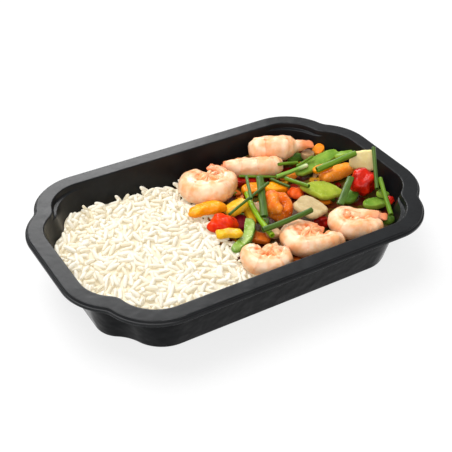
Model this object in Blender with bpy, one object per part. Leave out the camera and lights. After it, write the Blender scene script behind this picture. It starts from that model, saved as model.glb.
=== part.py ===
"""A black plastic ready-meal tray filled with boiled rice, shrimps and stir-fried vegetables.

The tray stands on z = 0 with its middle at the origin, its long side along X and its back at +Y.
Lengths are written in millimetres and turned into metres as each mesh is made.
Each piece of food is made about its own middle, then given a place, a heading in plan, a pitch
and a roll, so that it rests on what lies beneath it.
"""

import math
import random
from dataclasses import dataclass

import bmesh
import bpy
import numpy as np
from mathutils import Euler, Matrix, Vector, noise
from mathutils.bvhtree import BVHTree

MM = 0.001
GAP = 0.3

# Tray: in plan the rim is a long narrow rectangle joined with a short wide one
LONG_HALF = (110.0, 50.8)
WIDE_HALF = (97.7, 69.6)
LONG_CORNER = 30.1
WIDE_CORNER = 30.8
NOTCH_FILLET = 9.8
NOTCH_FILLET_BASE = 22.6
RIM_HEIGHT = 35.3
WALL = 1.0
RIM_INSET = 8.5
LIP_OUT = 1.5
LIP_DEPTH = 2.9
LIP_WALL = 0.8
BASE_INSET = 15.8
FOOT_RADIUS = 2.8
LEDGE_DEPTH = 3.4
LEDGE_CORNER = 5.5
CORNER_STEPS = 5
NOTCH_STEPS = 4

# Heap of food
FLOOR_TOP = WALL
WALL_GAP = 0.5
BORDER_X = -12.5
BORDER_SWAY = 3.0
BORDER_WAVE = 9.0
BORDER_BACK = 13.0
RICE_STEP = 4.4
BED_STEP = 8.0
BLOCK_BASE = -1.0

# Shrimps
SHRIMP_SEGMENTS = 6.5
SHRIMP_RIDGE = 0.05
SHRIMP_STEPS = 13
SHRIMP_SIDES = 7
SHRIMP_INNER_REACH = 0.9

# Strips and chives
STRIP_STEPS = 7
STRIP_EDGE = 0.82
STRIP_CROWN = 0.45
CHIVE_STEPS = 5
CHIVE_SIDES = 5

# Rice grains that lie on the mound
GRAIN_LENGTH = (6.5, 9.0)
GRAIN_WIDTH = 2.3
GRAIN_SIDES = 5
GRAIN_SHOULDER = 0.27
GRAIN_SPACING = 10.0
GRAIN_JITTER = 3.4
GRAIN_LIFT = 0.45
GRAIN_LEAN = 9.0
BACK_LEAN = 30.0
BACK_EDGE = 36.0
RICE_SEED = 7


@dataclass(frozen=True)
class Finish:
    """Colour and roughness of one material; nothing here is metal."""

    name: str
    colour: tuple
    roughness: float


BLACK_PLASTIC = Finish("black_plastic", (0.020, 0.021, 0.022), 0.38)
BOILED_RICE = Finish("boiled_rice", (0.90, 0.87, 0.76), 0.55)
BROWN_SAUCE = Finish("brown_sauce", (0.10, 0.025, 0.012), 0.35)
COOKED_SHRIMP = Finish("cooked_shrimp", (0.93, 0.66, 0.47), 0.40)
GREEN_CHIVE = Finish("green_chive", (0.09, 0.25, 0.03), 0.40)
GREEN_POD = Finish("green_pod", (0.30, 0.46, 0.06), 0.42)
YELLOW_PEPPER = Finish("yellow_pepper", (0.88, 0.47, 0.01), 0.33)
RED_PEPPER = Finish("red_pepper", (0.62, 0.02, 0.01), 0.30)
ORANGE_CARROT = Finish("orange_carrot", (0.86, 0.22, 0.02), 0.45)
PALE_ONION = Finish("pale_onion", (0.80, 0.66, 0.38), 0.45)
RED_ONION = Finish("red_onion", (0.16, 0.012, 0.015), 0.30)


def clear_scene():
    """Empty the scene of everything that a new file starts with."""
    for thing in list(bpy.data.objects):
        bpy.data.objects.remove(thing, do_unlink=True)


def material(finish):
    """One Principled material for each finish, made once."""
    found = bpy.data.materials.get(finish.name)
    if found:
        return found
    made = bpy.data.materials.new(finish.name)
    made.use_nodes = True
    shader = made.node_tree.nodes["Principled BSDF"]
    shader.inputs["Base Color"].default_value = (*finish.colour, 1.0)
    shader.inputs["Roughness"].default_value = finish.roughness
    shader.inputs["Metallic"].default_value = 0.0
    return made


def make_object(name, shape, finish):
    """An object from points in millimetres and faces, smooth but for its sharp edges."""
    points, faces = shape
    mesh = bpy.data.meshes.new(name)
    mesh.from_pydata([Vector(point) * MM for point in points], [], faces)
    mesh.validate()
    tidy = bmesh.new()
    tidy.from_mesh(mesh)
    bmesh.ops.recalc_face_normals(tidy, faces=tidy.faces)
    if tidy.calc_volume(signed=True) < 0:
        bmesh.ops.reverse_faces(tidy, faces=tidy.faces)
    tidy.to_mesh(mesh)
    tidy.free()
    mesh.shade_smooth()
    mesh.set_sharp_from_angle(angle=math.radians(50))
    mesh.materials.append(material(finish))
    made = bpy.data.objects.new(name, mesh)
    bpy.context.scene.collection.objects.link(made)
    return made


# Shapes: each gives its points in millimetres, about its own middle, and its faces


def skin(rings, count):
    """Faces between neighbouring rings of points, each ring with the same count."""
    faces = []
    for ring in range(rings - 1):
        here = ring * count
        there = here + count
        for step in range(count):
            after = (step + 1) % count
            faces.append((here + step, here + after, there + after, there + step))
    return faces


def cone(first, count, tip):
    """Faces from a ring of points to one tip."""
    return [(first + step, first + (step + 1) % count, tip) for step in range(count)]


def loft(rings):
    """A skin over rings of equal length, shut by a flat face at either end."""
    count = len(rings[0])
    points = [point for ring in rings for point in ring]
    faces = skin(len(rings), count)
    faces.append(tuple(range(count))[::-1])
    faces.append(tuple(range(len(points) - count, len(points))))
    return points, faces


def tube(path, wide, high, sides, keel=None, dome=0.3):
    """A tube round a path, with half its width and height at each point, and domed ends.

    Keel is the share by which the tube is wider on its left side, or on its right if negative.
    """
    path = np.asarray(path, float)
    along = np.gradient(path, axis=0)
    along /= np.linalg.norm(along, axis=1)[:, None]
    keel = np.zeros(len(path)) if keel is None else keel
    points = []
    for place, way, half_width, half_height, reach in zip(path, along, wide, high, keel):
        side = np.cross((0.0, 0.0, 1.0), way)
        side /= np.linalg.norm(side)
        top = np.cross(way, side)
        for step in range(sides):
            turn = math.tau * (step + 0.5) / sides
            across = half_width * math.cos(turn)
            across += abs(across) * reach if across * reach > 0 else 0.0
            points.append(place + side * across + top * half_height * math.sin(turn))
    faces = skin(len(path), sides)
    for ring, sign in ((0, -1), (len(path) - 1, 1)):
        bulge = min(wide[ring], high[ring]) * dome
        points.append(path[ring] + sign * along[ring] * bulge)
        faces += cone(ring * sides, sides, len(points) - 1)
    return points, faces


def arc_path(length, turn, steps, bend=1.0, shift=0.0):
    """Points along a line in plan that turns by some degrees over a share of its length.

    That share is about the middle of the line, or later by the shift.
    """
    share = np.linspace(0.0, 1.0, steps)
    step = length / (steps - 1)
    middle = (share[1:] + share[:-1]) - 1.0 - shift
    heading = math.radians(turn) / 2 * np.clip(middle / bend, -1.0, 1.0)
    x = np.concatenate([[0.0], np.cumsum(np.cos(heading))]) * step
    y = np.concatenate([[0.0], np.cumsum(np.sin(heading))]) * step
    path = np.stack([x, y, np.zeros(steps)], axis=1)
    return path - (path.min(axis=0) + path.max(axis=0)) / 2


def chive(length, width, bow=0.0, flat=1.0):
    """A cut length of chive: a thin tube, a little bowed."""
    path = arc_path(length, bow, CHIVE_STEPS)
    wide = np.full(CHIVE_STEPS, width / 2)
    return tube(path, wide, wide * flat, CHIVE_SIDES)


def shrimp(length, thick, turn, tail, bend=1.0, shift=0.0, body=0.82, slim=0.48, belly=0.0, rise=0.0):
    """A peeled shrimp, curled in plan, from its cut front over its thick body to its tail fan.

    Slim is the tail's girth as a share of the body's. Belly is how far its inner side reaches in.
    """
    path = arc_path(length, turn, SHRIMP_STEPS, bend, shift)
    share = np.linspace(0.0, 1.0, SHRIMP_STEPS)
    path[:, 2] += rise * (share - 0.5)
    known = (0.0, 0.07, 0.25, body - 0.15, body, body + 0.08, 1.0)
    girth = (0.66, 0.92, 1.0, 0.96, 0.80, slim, slim * 0.85)
    half = np.interp(share, known, girth) * thick / 2
    half *= 1.0 + SHRIMP_RIDGE * np.sin(share * SHRIMP_SEGMENTS * math.tau)
    way = path[-1] - path[-2]
    way /= np.linalg.norm(way)
    path = np.vstack([path, [path[-1] + way * tail * step for step in (0.4, 0.75, 1.0)]])
    wide = np.concatenate([half, thick * np.array([0.20, 0.27, 0.24])])
    high = np.concatenate([half, thick * np.array([0.14, 0.10, 0.05])])
    keel = belly * np.sqrt(np.clip(np.sin(share * math.pi), 0.0, 1.0))
    # In its bend the inner side stops short of the middle of the curl
    curl = length * bend / math.radians(abs(turn))
    tight = np.clip(SHRIMP_INNER_REACH * curl / half - 1.0, 0.0, None)
    bent = np.abs(2.0 * share - 1.0 - shift) < bend
    keel = math.copysign(1.0, turn) * np.where(bent, np.minimum(keel, tight), keel)
    return tube(path, wide, high, SHRIMP_SIDES, np.concatenate([keel, np.zeros(3)]))


def strip_outline(length, width, turn, square, taper, steps):
    """The outline of a strip with round or pointed ends, bent along an arc in plan."""
    path = arc_path(length, turn, steps)
    way = np.gradient(path, axis=0)
    way /= np.linalg.norm(way, axis=1)[:, None]
    share = np.linspace(-1.0, 1.0, steps)
    half = width / 2 * (1.0 - np.abs(share) ** square) ** (1.0 / square) * (1.0 + taper * share)
    side = np.stack([-way[:, 1], way[:, 0]], axis=1)
    left = path[:, :2] + side * half[:, None]
    right = path[:, :2] - side * half[:, None]
    return np.vstack([right, left[-2:0:-1]])


def strip(length, width, thick, turn=0.0, square=3.0, taper=0.0, puff=0.0, sag=0.0):
    """A flat piece with rounded edges, such as a slice of pepper or a pod.

    Its outline bends by turn in plan. Puff crowns both faces, and sag bends it down at its sides.
    """
    outline = strip_outline(length, width, turn, square, taper, STRIP_STEPS)
    middle = (outline.min(axis=0) + outline.max(axis=0)) / 2
    reach = (outline.max(axis=0) - outline.min(axis=0)) / 2
    count = len(outline)
    levels = [(STRIP_EDGE, -0.5), (1.0, 0.0), (STRIP_EDGE, 0.5)]
    if puff or sag:
        levels = [(STRIP_CROWN, -0.5 - puff), *levels, (STRIP_CROWN, 0.5 + puff)]
    points = []
    for scale, level in levels:
        for x, y in middle + (outline - middle) * scale:
            points.append([x, y, level * thick])
    faces = skin(len(levels), count)
    for ring, sign in ((0, -1), (len(levels) - 1, 1)):
        points.append([*middle, sign * thick * (0.5 + puff)])
        faces += cone(ring * count, count, len(points) - 1)
    for point in points:
        point[2] -= sag * ((point[1] - middle[1]) / reach[1]) ** 2
    return points, faces


def lump(length, width, height, knobs, seed, detail=2):
    """An uneven rounded chunk, its surface pushed in and out by a smooth noise."""
    ball = bmesh.new()
    bmesh.ops.create_icosphere(ball, subdivisions=detail, radius=1.0)
    for vertex in ball.verts:
        shift = noise.noise(vertex.co * 1.3 + Vector((seed, 0.0, 0.0)))
        vertex.co *= 1.0 + knobs * shift
        vertex.co.x *= length / 2
        vertex.co.y *= width / 2
        vertex.co.z *= height / 2
    points = [tuple(vertex.co) for vertex in ball.verts]
    faces = [tuple(vertex.index for vertex in face.verts) for face in ball.faces]
    ball.free()
    return points, faces


# Tray


def notch_arcs(inset, long_corner, wide_corner, fillet):
    """Centres and limits of the three arcs that make one corner of the tray at an inset."""
    first = Vector((LONG_HALF[0] - LONG_CORNER, LONG_HALF[1] - LONG_CORNER))
    second = Vector((WIDE_HALF[0] - inset - wide_corner, WIDE_HALF[1] - inset - wide_corner))
    first_reach = long_corner + fillet
    second_reach = wide_corner + fillet
    across = second - first
    apart = across.length
    along = (first_reach**2 - second_reach**2 + apart**2) / (2 * apart)
    off = math.sqrt(first_reach**2 - along**2)
    out = Vector((across.y, -across.x)) / apart
    if out.x < 0:
        out = -out
    hollow = first + across / apart * along + out * off
    return first, second, hollow


def corner_loop(inset, z, flatter=0.0, fillet=None):
    """One level of the tray: the lobed outline drawn in by an inset, at a height."""
    long_corner = LONG_CORNER - inset
    wide_corner = WIDE_CORNER - inset + flatter
    if fillet is None:
        share = min(max((inset - RIM_INSET) / (BASE_INSET - RIM_INSET), 0.0), 1.0)
        fillet = NOTCH_FILLET + share * (NOTCH_FILLET_BASE - NOTCH_FILLET)
    first, second, hollow = notch_arcs(inset, long_corner, wide_corner, fillet)
    start = math.atan2(hollow.y - first.y, hollow.x - first.x)
    leave = math.atan2(hollow.y - second.y, hollow.x - second.x)
    quarter = []
    for step in range(CORNER_STEPS + 1):
        angle = start * step / CORNER_STEPS
        quarter.append(first + Vector((math.cos(angle), math.sin(angle))) * long_corner)
    into = start - math.pi
    out_of = leave - math.pi
    for step in range(1, NOTCH_STEPS):
        angle = into + (out_of - into) * step / NOTCH_STEPS
        quarter.append(hollow + Vector((math.cos(angle), math.sin(angle))) * fillet)
    for step in range(CORNER_STEPS + 1):
        angle = leave + (math.pi / 2 - leave) * step / CORNER_STEPS
        quarter.append(second + Vector((math.cos(angle), math.sin(angle))) * wide_corner)
    mirrored = [Vector((-point.x, point.y)) for point in reversed(quarter)]
    half = quarter + mirrored
    whole = half + [Vector((-point.x, -point.y)) for point in half]
    return [(point.x, point.y, z) for point in whole]


def outer_inset(z):
    """Inset of the wall's outer face at a height, on the straight draft between base and rim."""
    top = RIM_INSET - WALL
    return top + (BASE_INSET - top) * (1.0 - z / RIM_HEIGHT)


def tray_shape():
    """The tray's skin: up the outside, over the lip and the flat rim, and down the inside."""
    top = RIM_HEIGHT
    ledge = top - LEDGE_DEPTH
    under = top - WALL
    foot = FOOT_RADIUS
    outside = [
        corner_loop(BASE_INSET + foot, 0.0, LEDGE_CORNER),
        corner_loop(outer_inset(foot * 0.4) + 0.25, foot * 0.4, LEDGE_CORNER),
        corner_loop(outer_inset(foot), foot, LEDGE_CORNER),
        corner_loop(outer_inset(ledge - WALL), ledge - WALL, LEDGE_CORNER),
        corner_loop(outer_inset(ledge - WALL + 0.5), ledge - WALL + 0.5, 0.0),
        corner_loop(RIM_INSET - WALL - 0.9, under),
        corner_loop(0.3, under),
        corner_loop(LIP_WALL - LIP_OUT, top - LIP_DEPTH + 0.7),
        corner_loop(LIP_WALL - LIP_OUT, top - LIP_DEPTH),
        corner_loop(-LIP_OUT, top - LIP_DEPTH),
        corner_loop(0.1 - LIP_OUT, top - 1.5),
        corner_loop(-0.5, top - 1.3),
        corner_loop(-0.4, top - 0.5),
        corner_loop(0.1, top),
    ]
    inside = [
        corner_loop(RIM_INSET - 0.4, top),
        corner_loop(RIM_INSET + 0.2, top - 0.6),
        corner_loop(outer_inset(ledge + 0.3) + WALL, ledge + 0.3),
        corner_loop(outer_inset(ledge) + WALL, ledge, LEDGE_CORNER),
        corner_loop(outer_inset(foot + WALL) + WALL, foot + WALL, LEDGE_CORNER),
        corner_loop(outer_inset(WALL + foot * 0.3) + WALL + 0.5, WALL + foot * 0.3, LEDGE_CORNER),
        corner_loop(BASE_INSET + WALL + foot, WALL, LEDGE_CORNER),
    ]
    return loft(outside + inside)


# Heap


def border_x(y):
    """Where rice and vegetables meet, along the depth of the tray."""
    share = y / WIDE_HALF[1]
    sway = BORDER_SWAY * math.sin(y / BORDER_WAVE)
    return BORDER_X + sway + BORDER_BACK * max(share, 0.0) ** 2


def bumps(x, y, size, seed):
    """A smooth noise from -1 to 1 whose bumps are of a given size."""
    return noise.noise(Vector((x / size, y / size, seed)))


def rice_height(x, y):
    """Top of the rice: a low mound that falls away to the walls, covered in grain-sized bumps."""
    mound = 24.5 - 3.0 * ((x + 52.0) / 45.0) ** 2 - 5.5 * max((y - 5.0) / 50.0, 0.0) ** 2
    mound -= 1.5 * max((-y - 15.0) / 40.0, 0.0) ** 2
    hollow = 2.5 * math.exp(-(((x + 50.0) / 5.0) ** 2 + ((y - 19.0) / 4.0) ** 2))
    return mound - hollow + 2.2 * bumps(x, y, 16.0, 1.0) + 1.3 * bumps(x, y, 4.5, 2.0)


def bed_height(x, y):
    """Top of the vegetables and sauce that lie under the pieces that can be told apart."""
    back = 6.5 * math.exp(-(((x - 62.0) / 22.0) ** 2 + ((y - 53.0) / 8.0) ** 2))
    front = 2.5 * math.exp(-(((x - 28.0) / 16.0) ** 2 + ((y + 42.0) / 12.0) ** 2))
    right = 3.0 * math.exp(-(((x - 92.0) / 14.0) ** 2 + (y / 25.0) ** 2))
    humps = 1.2 * bumps(x, y, 14.0, 3.0) + 1.4 * bumps(x, y, 7.0, 4.0)
    return 17.5 + back + front + right + humps


def heap_block(x_from, x_to, height, step):
    """A closed block with an uneven top, upright sides and one flat face below."""
    half_width = WIDE_HALF[1]
    rows = round(2 * half_width / step)
    columns = round(abs(x_to(0.0) - x_from(0.0)) / step)
    stride = columns + 1
    points, faces = [], []
    for row in range(rows + 1):
        y = half_width * (2 * row / rows - 1)
        left, right = x_from(y), x_to(y)
        for column in range(stride):
            x = left + (right - left) * column / columns
            points.append((x, y, height(x, y)))
    for row in range(rows):
        for column in range(columns):
            corner = row * stride + column
            faces.append((corner, corner + 1, corner + stride + 1, corner + stride))
    edge = list(range(columns))
    edge += [row * stride + columns for row in range(rows)]
    edge += [rows * stride + column for column in range(columns, 0, -1)]
    edge += [row * stride for row in range(rows, 0, -1)]
    base = len(points)
    points += [(points[index][0], points[index][1], BLOCK_BASE) for index in edge]
    for step_round, index in enumerate(edge):
        after = (step_round + 1) % len(edge)
        faces.append((edge[after], index, base + step_round, base + after))
    faces.append(tuple(range(len(points) - 1, base - 1, -1)))
    return points, faces


def rice_block():
    """The rice, from the tray's left end to the border with the vegetables."""
    return heap_block(lambda y: -LONG_HALF[0], lambda y: border_x(y) - GAP, rice_height, RICE_STEP)


def bed_block():
    """The vegetables and sauce, from the border to the tray's right end."""
    return heap_block(lambda y: border_x(y) + GAP, lambda y: LONG_HALF[0], bed_height, BED_STEP)


def inner_space():
    """The room inside the tray, drawn in by a small gap, from its floor to above its rim."""
    gap = WALL + WALL_GAP
    low = FLOOR_TOP + GAP
    foot = FOOT_RADIUS
    high = RIM_HEIGHT - LEDGE_DEPTH - 1.0
    levels = [
        corner_loop(BASE_INSET + gap + foot, low, LEDGE_CORNER),
        corner_loop(outer_inset(foot + gap) + gap, foot + gap, LEDGE_CORNER),
        corner_loop(outer_inset(high) + gap, high, LEDGE_CORNER),
    ]
    return loft(levels)


def trimmed(name, shape, finish):
    """A heap's block cut to the room inside the tray."""
    heap = make_object(name, shape, finish)
    room = make_object("room", inner_space(), finish)
    cut = heap.modifiers.new("room", "BOOLEAN")
    cut.operation = "INTERSECT"
    cut.object = room
    apply_modifiers(heap)
    bpy.data.objects.remove(room, do_unlink=True)
    return heap


def apply_modifiers(thing):
    """Put an object's evaluated mesh in place of its own."""
    graph = bpy.context.evaluated_depsgraph_get()
    mesh = bpy.data.meshes.new_from_object(thing.evaluated_get(graph))
    thing.modifiers.clear()
    thing.data = mesh


def outward_skin(thing):
    """A tree of an object's faces in millimetres, to measure clearances from."""
    matrix = thing.matrix_world
    points = [matrix @ vertex.co / MM for vertex in thing.data.vertices]
    faces = [tuple(polygon.vertices) for polygon in thing.data.polygons]
    return BVHTree.FromPolygons(points, faces)


# Rice grains


def grain(length):
    """A rice grain about its own middle, along X, with pointed ends."""
    points = []
    for share in (-GRAIN_SHOULDER, GRAIN_SHOULDER):
        for step in range(GRAIN_SIDES):
            angle = math.tau * step / GRAIN_SIDES
            radius = GRAIN_WIDTH / 2
            points.append((share * length, radius * math.cos(angle), radius * math.sin(angle)))
    points += [(-length / 2, 0.0, 0.0), (length / 2, 0.0, 0.0)]
    faces = skin(2, GRAIN_SIDES)
    faces += cone(0, GRAIN_SIDES, len(points) - 2)
    faces += cone(GRAIN_SIDES, GRAIN_SIDES, len(points) - 1)
    return points, faces


def grain_matrix(x, y, length, chance):
    """Where a grain lies: along the mound's slope, with some lean, steeper at the back edge."""
    heading = chance.uniform(0.0, 180.0)
    across = math.cos(math.radians(heading)) * length / 2
    along = math.sin(math.radians(heading)) * length / 2
    rise = rice_height(x + across, y + along) - rice_height(x - across, y - along)
    limit = BACK_LEAN if y > BACK_EDGE else GRAIN_LEAN
    lean = math.degrees(math.atan2(rise, length)) + chance.uniform(-limit, limit)
    turn = Euler((0.0, -math.radians(lean), math.radians(heading)), "XYZ").to_matrix().to_4x4()
    return Matrix.Translation((x, y, rice_height(x, y) + GRAIN_LIFT)) @ turn


def is_clear(points, faces, skins):
    """Whether a shape crosses no skin and all its points lie outside them by the gap."""
    own = BVHTree.FromPolygons(points, faces)
    for tree in skins:
        if own.overlap(tree):
            return False
        for point in points:
            near, normal, _, _ = tree.find_nearest(point)
            if (point - near).dot(normal) < GAP:
                return False
    return True


def lay_grains(others):
    """Grains over the whole mound on a jittered grid, but for those that would touch another node."""
    chance = random.Random(RICE_SEED)
    skins = [outward_skin(other) for other in others]
    laid = []
    rows = round(2 * WIDE_HALF[1] / GRAIN_SPACING)
    columns = round(LONG_HALF[0] / GRAIN_SPACING)
    for row in range(rows):
        for column in range(columns):
            x = (column - columns) * GRAIN_SPACING + chance.uniform(-GRAIN_JITTER, GRAIN_JITTER)
            y = (row - rows / 2) * GRAIN_SPACING + chance.uniform(-GRAIN_JITTER, GRAIN_JITTER)
            length = chance.uniform(*GRAIN_LENGTH)
            points, faces = grain(length)
            matrix = grain_matrix(x, y, length, chance)
            points = [matrix @ Vector(point) for point in points]
            if x < border_x(y) and is_clear(points, faces, skins):
                laid.append(make_object(f"grain_{len(laid)}", (points, faces), BOILED_RICE))
    return laid


def fuse(core, pieces):
    """Join pieces to a core by one union, then keep only its largest outward body."""
    group = bpy.data.collections.new(core.name + "_grains")
    bpy.context.scene.collection.children.link(group)
    for piece in pieces:
        group.objects.link(piece)
    union = core.modifiers.new("grains", "BOOLEAN")
    union.operation = "UNION"
    union.solver = "MANIFOLD"
    union.operand_type = "COLLECTION"
    union.collection = group
    apply_modifiers(core)
    for piece in pieces:
        bpy.data.objects.remove(piece, do_unlink=True)
    bpy.data.collections.remove(group)
    keep_largest(core.data)


def keep_largest(mesh):
    """Drop the loose scraps and sealed hollows that a union leaves."""
    body = bmesh.new()
    body.from_mesh(mesh)
    left = set(body.verts)
    islands = []
    while left:
        island, reach = set(), [left.pop()]
        while reach:
            vertex = reach.pop()
            island.add(vertex)
            for edge in vertex.link_edges:
                other = edge.other_vert(vertex)
                if other in left:
                    left.discard(other)
                    reach.append(other)
        islands.append(island)
    largest = max(islands, key=len)
    loose = [vertex for vertex in body.verts if vertex not in largest]
    bmesh.ops.delete(body, geom=loose, context="VERTS")
    body.to_mesh(mesh)
    body.free()


# Pieces of food


def lay(name, shape, finish, place, heading, pitch=0.0, roll=0.0):
    """Put one piece in the tray: its middle at a place, then rolled, pitched and headed."""
    piece = make_object(name, shape, finish)
    piece.location = Vector(place) * MM
    piece.rotation_euler = (math.radians(roll), -math.radians(pitch), math.radians(heading))
    return piece


def lay_shrimps():
    """Six shrimps: three along the back wall, three along the front."""
    coiled = shrimp(62, 14.5, 325, 5, belly=0.4, rise=8)
    straight = shrimp(36, 13, -15, 1.5, body=0.88, slim=0.68)
    back = shrimp(33, 16, 8, 6, body=0.78, rise=2)
    right = shrimp(56, 12.5, -196, 5, bend=0.45, body=0.66, slim=0.6, belly=0.45)
    front = shrimp(55, 12.5, -215, 4, bend=0.6, shift=0.25, slim=0.6, belly=0.2)
    corner = shrimp(40, 12, 200, 3, bend=0.8, slim=0.6, belly=0.4)
    return [
        lay("shrimp_coiled", coiled, COOKED_SHRIMP, (4, 30.5, 29.5), -35, -3, -3),
        lay("shrimp_straight", straight, COOKED_SHRIMP, (40, 39, 25), 156),
        lay("shrimp_back", back, COOKED_SHRIMP, (61, 43.5, 30), -26),
        lay("shrimp_right", right, COOKED_SHRIMP, (60.5, -41, 26.5), 60),
        lay("shrimp_front", front, COOKED_SHRIMP, (31.4, -40, 26), 60),
        lay("shrimp_corner", corner, COOKED_SHRIMP, (-2.6, -43.5, 27), -35),
    ]


def lay_peppers():
    """Pieces of red, yellow and orange pepper, flat or curled."""
    curl = strip(23, 9, 5, turn=-60, square=2.5)
    dice = strip(14, 11, 4, square=4, sag=1.0)
    return [
        lay("pepper_red_rear", strip(14, 6, 4, turn=20), RED_PEPPER, (32, 33, 20), -18, -4),
        lay("pepper_red_gap", lump(10, 7, 6, 0.3, 5), RED_PEPPER, (47.5, -25, 21), -30, -14, -14),
        lay("pepper_red_right", lump(9, 10, 7, 0.3, 11), RED_PEPPER, (50.5, 6.5, 21), 0, -14),
        lay("pepper_yellow_rear", strip(14, 10, 5, turn=25), YELLOW_PEPPER, (43.5, 17.5, 20.5), -19, -4, -4),
        lay("pepper_yellow_left", strip(13, 10, 4, turn=20), YELLOW_PEPPER, (30.5, 24, 20.5), -18, 4),
        lay("pepper_yellow_slab", dice, YELLOW_PEPPER, (7, 5, 27.5), 2, 14, -14),
        lay("pepper_yellow_strip", strip(18, 4.5, 3, 10, 4), YELLOW_PEPPER, (13.5, 1, 23.5), -101, -14, -14),
        lay("pepper_yellow_curl", curl, YELLOW_PEPPER, (-8.5, 9.5, 28), -15, 6, -6),
        lay("pepper_yellow_front", strip(15, 8, 5, -30, 2.5), YELLOW_PEPPER, (-10.8, -16.7, 28.7), -34, 8, -8),
        lay("pepper_yellow_end", strip(13, 5, 3), YELLOW_PEPPER, (72, 10, 30), -14, 10, 10),
        lay("pepper_orange_far", strip(9, 7, 4, square=2.5), ORANGE_CARROT, (86.5, 34.5, 25), 20, 14, 14),
        lay("pepper_orange_scrap", strip(8, 5, 2), ORANGE_CARROT, (61.5, -7, 19.5), -24, -4, -4),
    ]


def lay_pods():
    """Green pods and pieces of pod."""
    curved = strip(32, 6.5, 3.5, turn=-60, square=3.5, sag=-1.0)
    return [
        lay("pod_under_tail", strip(12, 6, 3, square=2.2), GREEN_POD, (73, 39, 21), -11, 0, 14),
        lay("pod_shaded", strip(12, 9, 3, square=2.2), GREEN_POD, (76.5, -12, 20.5), 26, 7),
        lay("pod_right", strip(14, 8, 4, square=2.5), GREEN_POD, (84.5, -26, 21.5), -25, 4),
        lay("pod_corner", strip(7, 7, 3.5, square=2.5), GREEN_POD, (90.5, -25, 25.5), 30, -14),
        lay("pod_low", strip(7, 6, 3.5, square=2.5), GREEN_POD, (79.5, -44.5, 23), -40, 14, -14),
        lay("pod_long", strip(34, 9, 3.5), GREEN_POD, (79, 25, 23.5), 5, 7, 14),
        lay("pod_behind", strip(12, 6, 3), GREEN_POD, (94.5, 18.5, 28), -23, 14, -14),
        lay("pod_pointed", strip(27, 16, 4, square=1.5, puff=0.15), GREEN_POD, (63, -3, 24.5), -35, -7, 7),
        lay("pod_curved", curved, GREEN_POD, (-1.5, -18.5, 25), -138, 0, 5),
    ]


def lay_roots():
    """Carrot in a chunk, a baton and shavings, and pieces of onion."""
    upright = strip(16, 12, 3, square=4, taper=0.2)
    burgundy = strip(14, 12, 3, square=3.5, taper=-0.15, sag=1.0)
    return [
        lay("carrot_brown", strip(11, 8, 3.5, square=4), ORANGE_CARROT, (8.5, -20, 20.5), -43),
        lay("carrot_sliver", strip(12, 5, 3, turn=20), ORANGE_CARROT, (58.5, 26, 19.5), -13),
        lay("carrot_chunk", lump(17, 19, 18, 0.22, 21, 3), ORANGE_CARROT, (29, -5, 26.9), -20, 10, -10),
        lay("carrot_baton", strip(25, 9, 8, square=5), ORANGE_CARROT, (82.5, 9, 24), 2, 0, -8),
        lay("onion_brown", strip(9, 8, 3.5, square=2.5), PALE_ONION, (15, -22, 23.5), -30, -14, -4),
        lay("onion_stalk", strip(11, 6, 3), PALE_ONION, (22.5, 6.5, 19.5), -120),
        lay("onion_far", strip(8, 7, 4, square=2.5), PALE_ONION, (77.5, 33.5, 25), 0),
        lay("onion_small", strip(8, 6, 3, square=2.5), PALE_ONION, (95.5, -6.5, 25.5), -20, 14, -14),
        lay("onion_slab", strip(18, 18, 3.5, square=5, taper=0.1), PALE_ONION, (44.1, -16.3, 26.8), 20, -8, 8),
        lay("onion_upright", upright, PALE_ONION, (94, 0.5, 34), -30, 0, 62),
        lay("onion_burgundy", burgundy, RED_ONION, (3.8, -1.5, 21.5), -14, 0, 14),
    ]


def lay_tomatoes():
    """Two large wedges of tomato and two scraps."""
    return [
        lay("tomato_left", lump(8, 7, 5, 0.3, 3), RED_PEPPER, (-3, 25.5, 20), 20, -7, -14),
        lay("tomato_scrap", lump(5, 5, 4, 0.25, 8), RED_PEPPER, (91.5, -31, 24.5), 40, 14, 14),
        lay("tomato_large", lump(16, 16, 15, 0.35, 4, 3), RED_PEPPER, (85.6, -11.8, 28.4), -10, -4, -4),
        lay("tomato_front", lump(16, 13, 12, 0.35, 2, 3), RED_PEPPER, (-7.3, -4.5, 26.3), -15, -8, -8),
    ]


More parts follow.
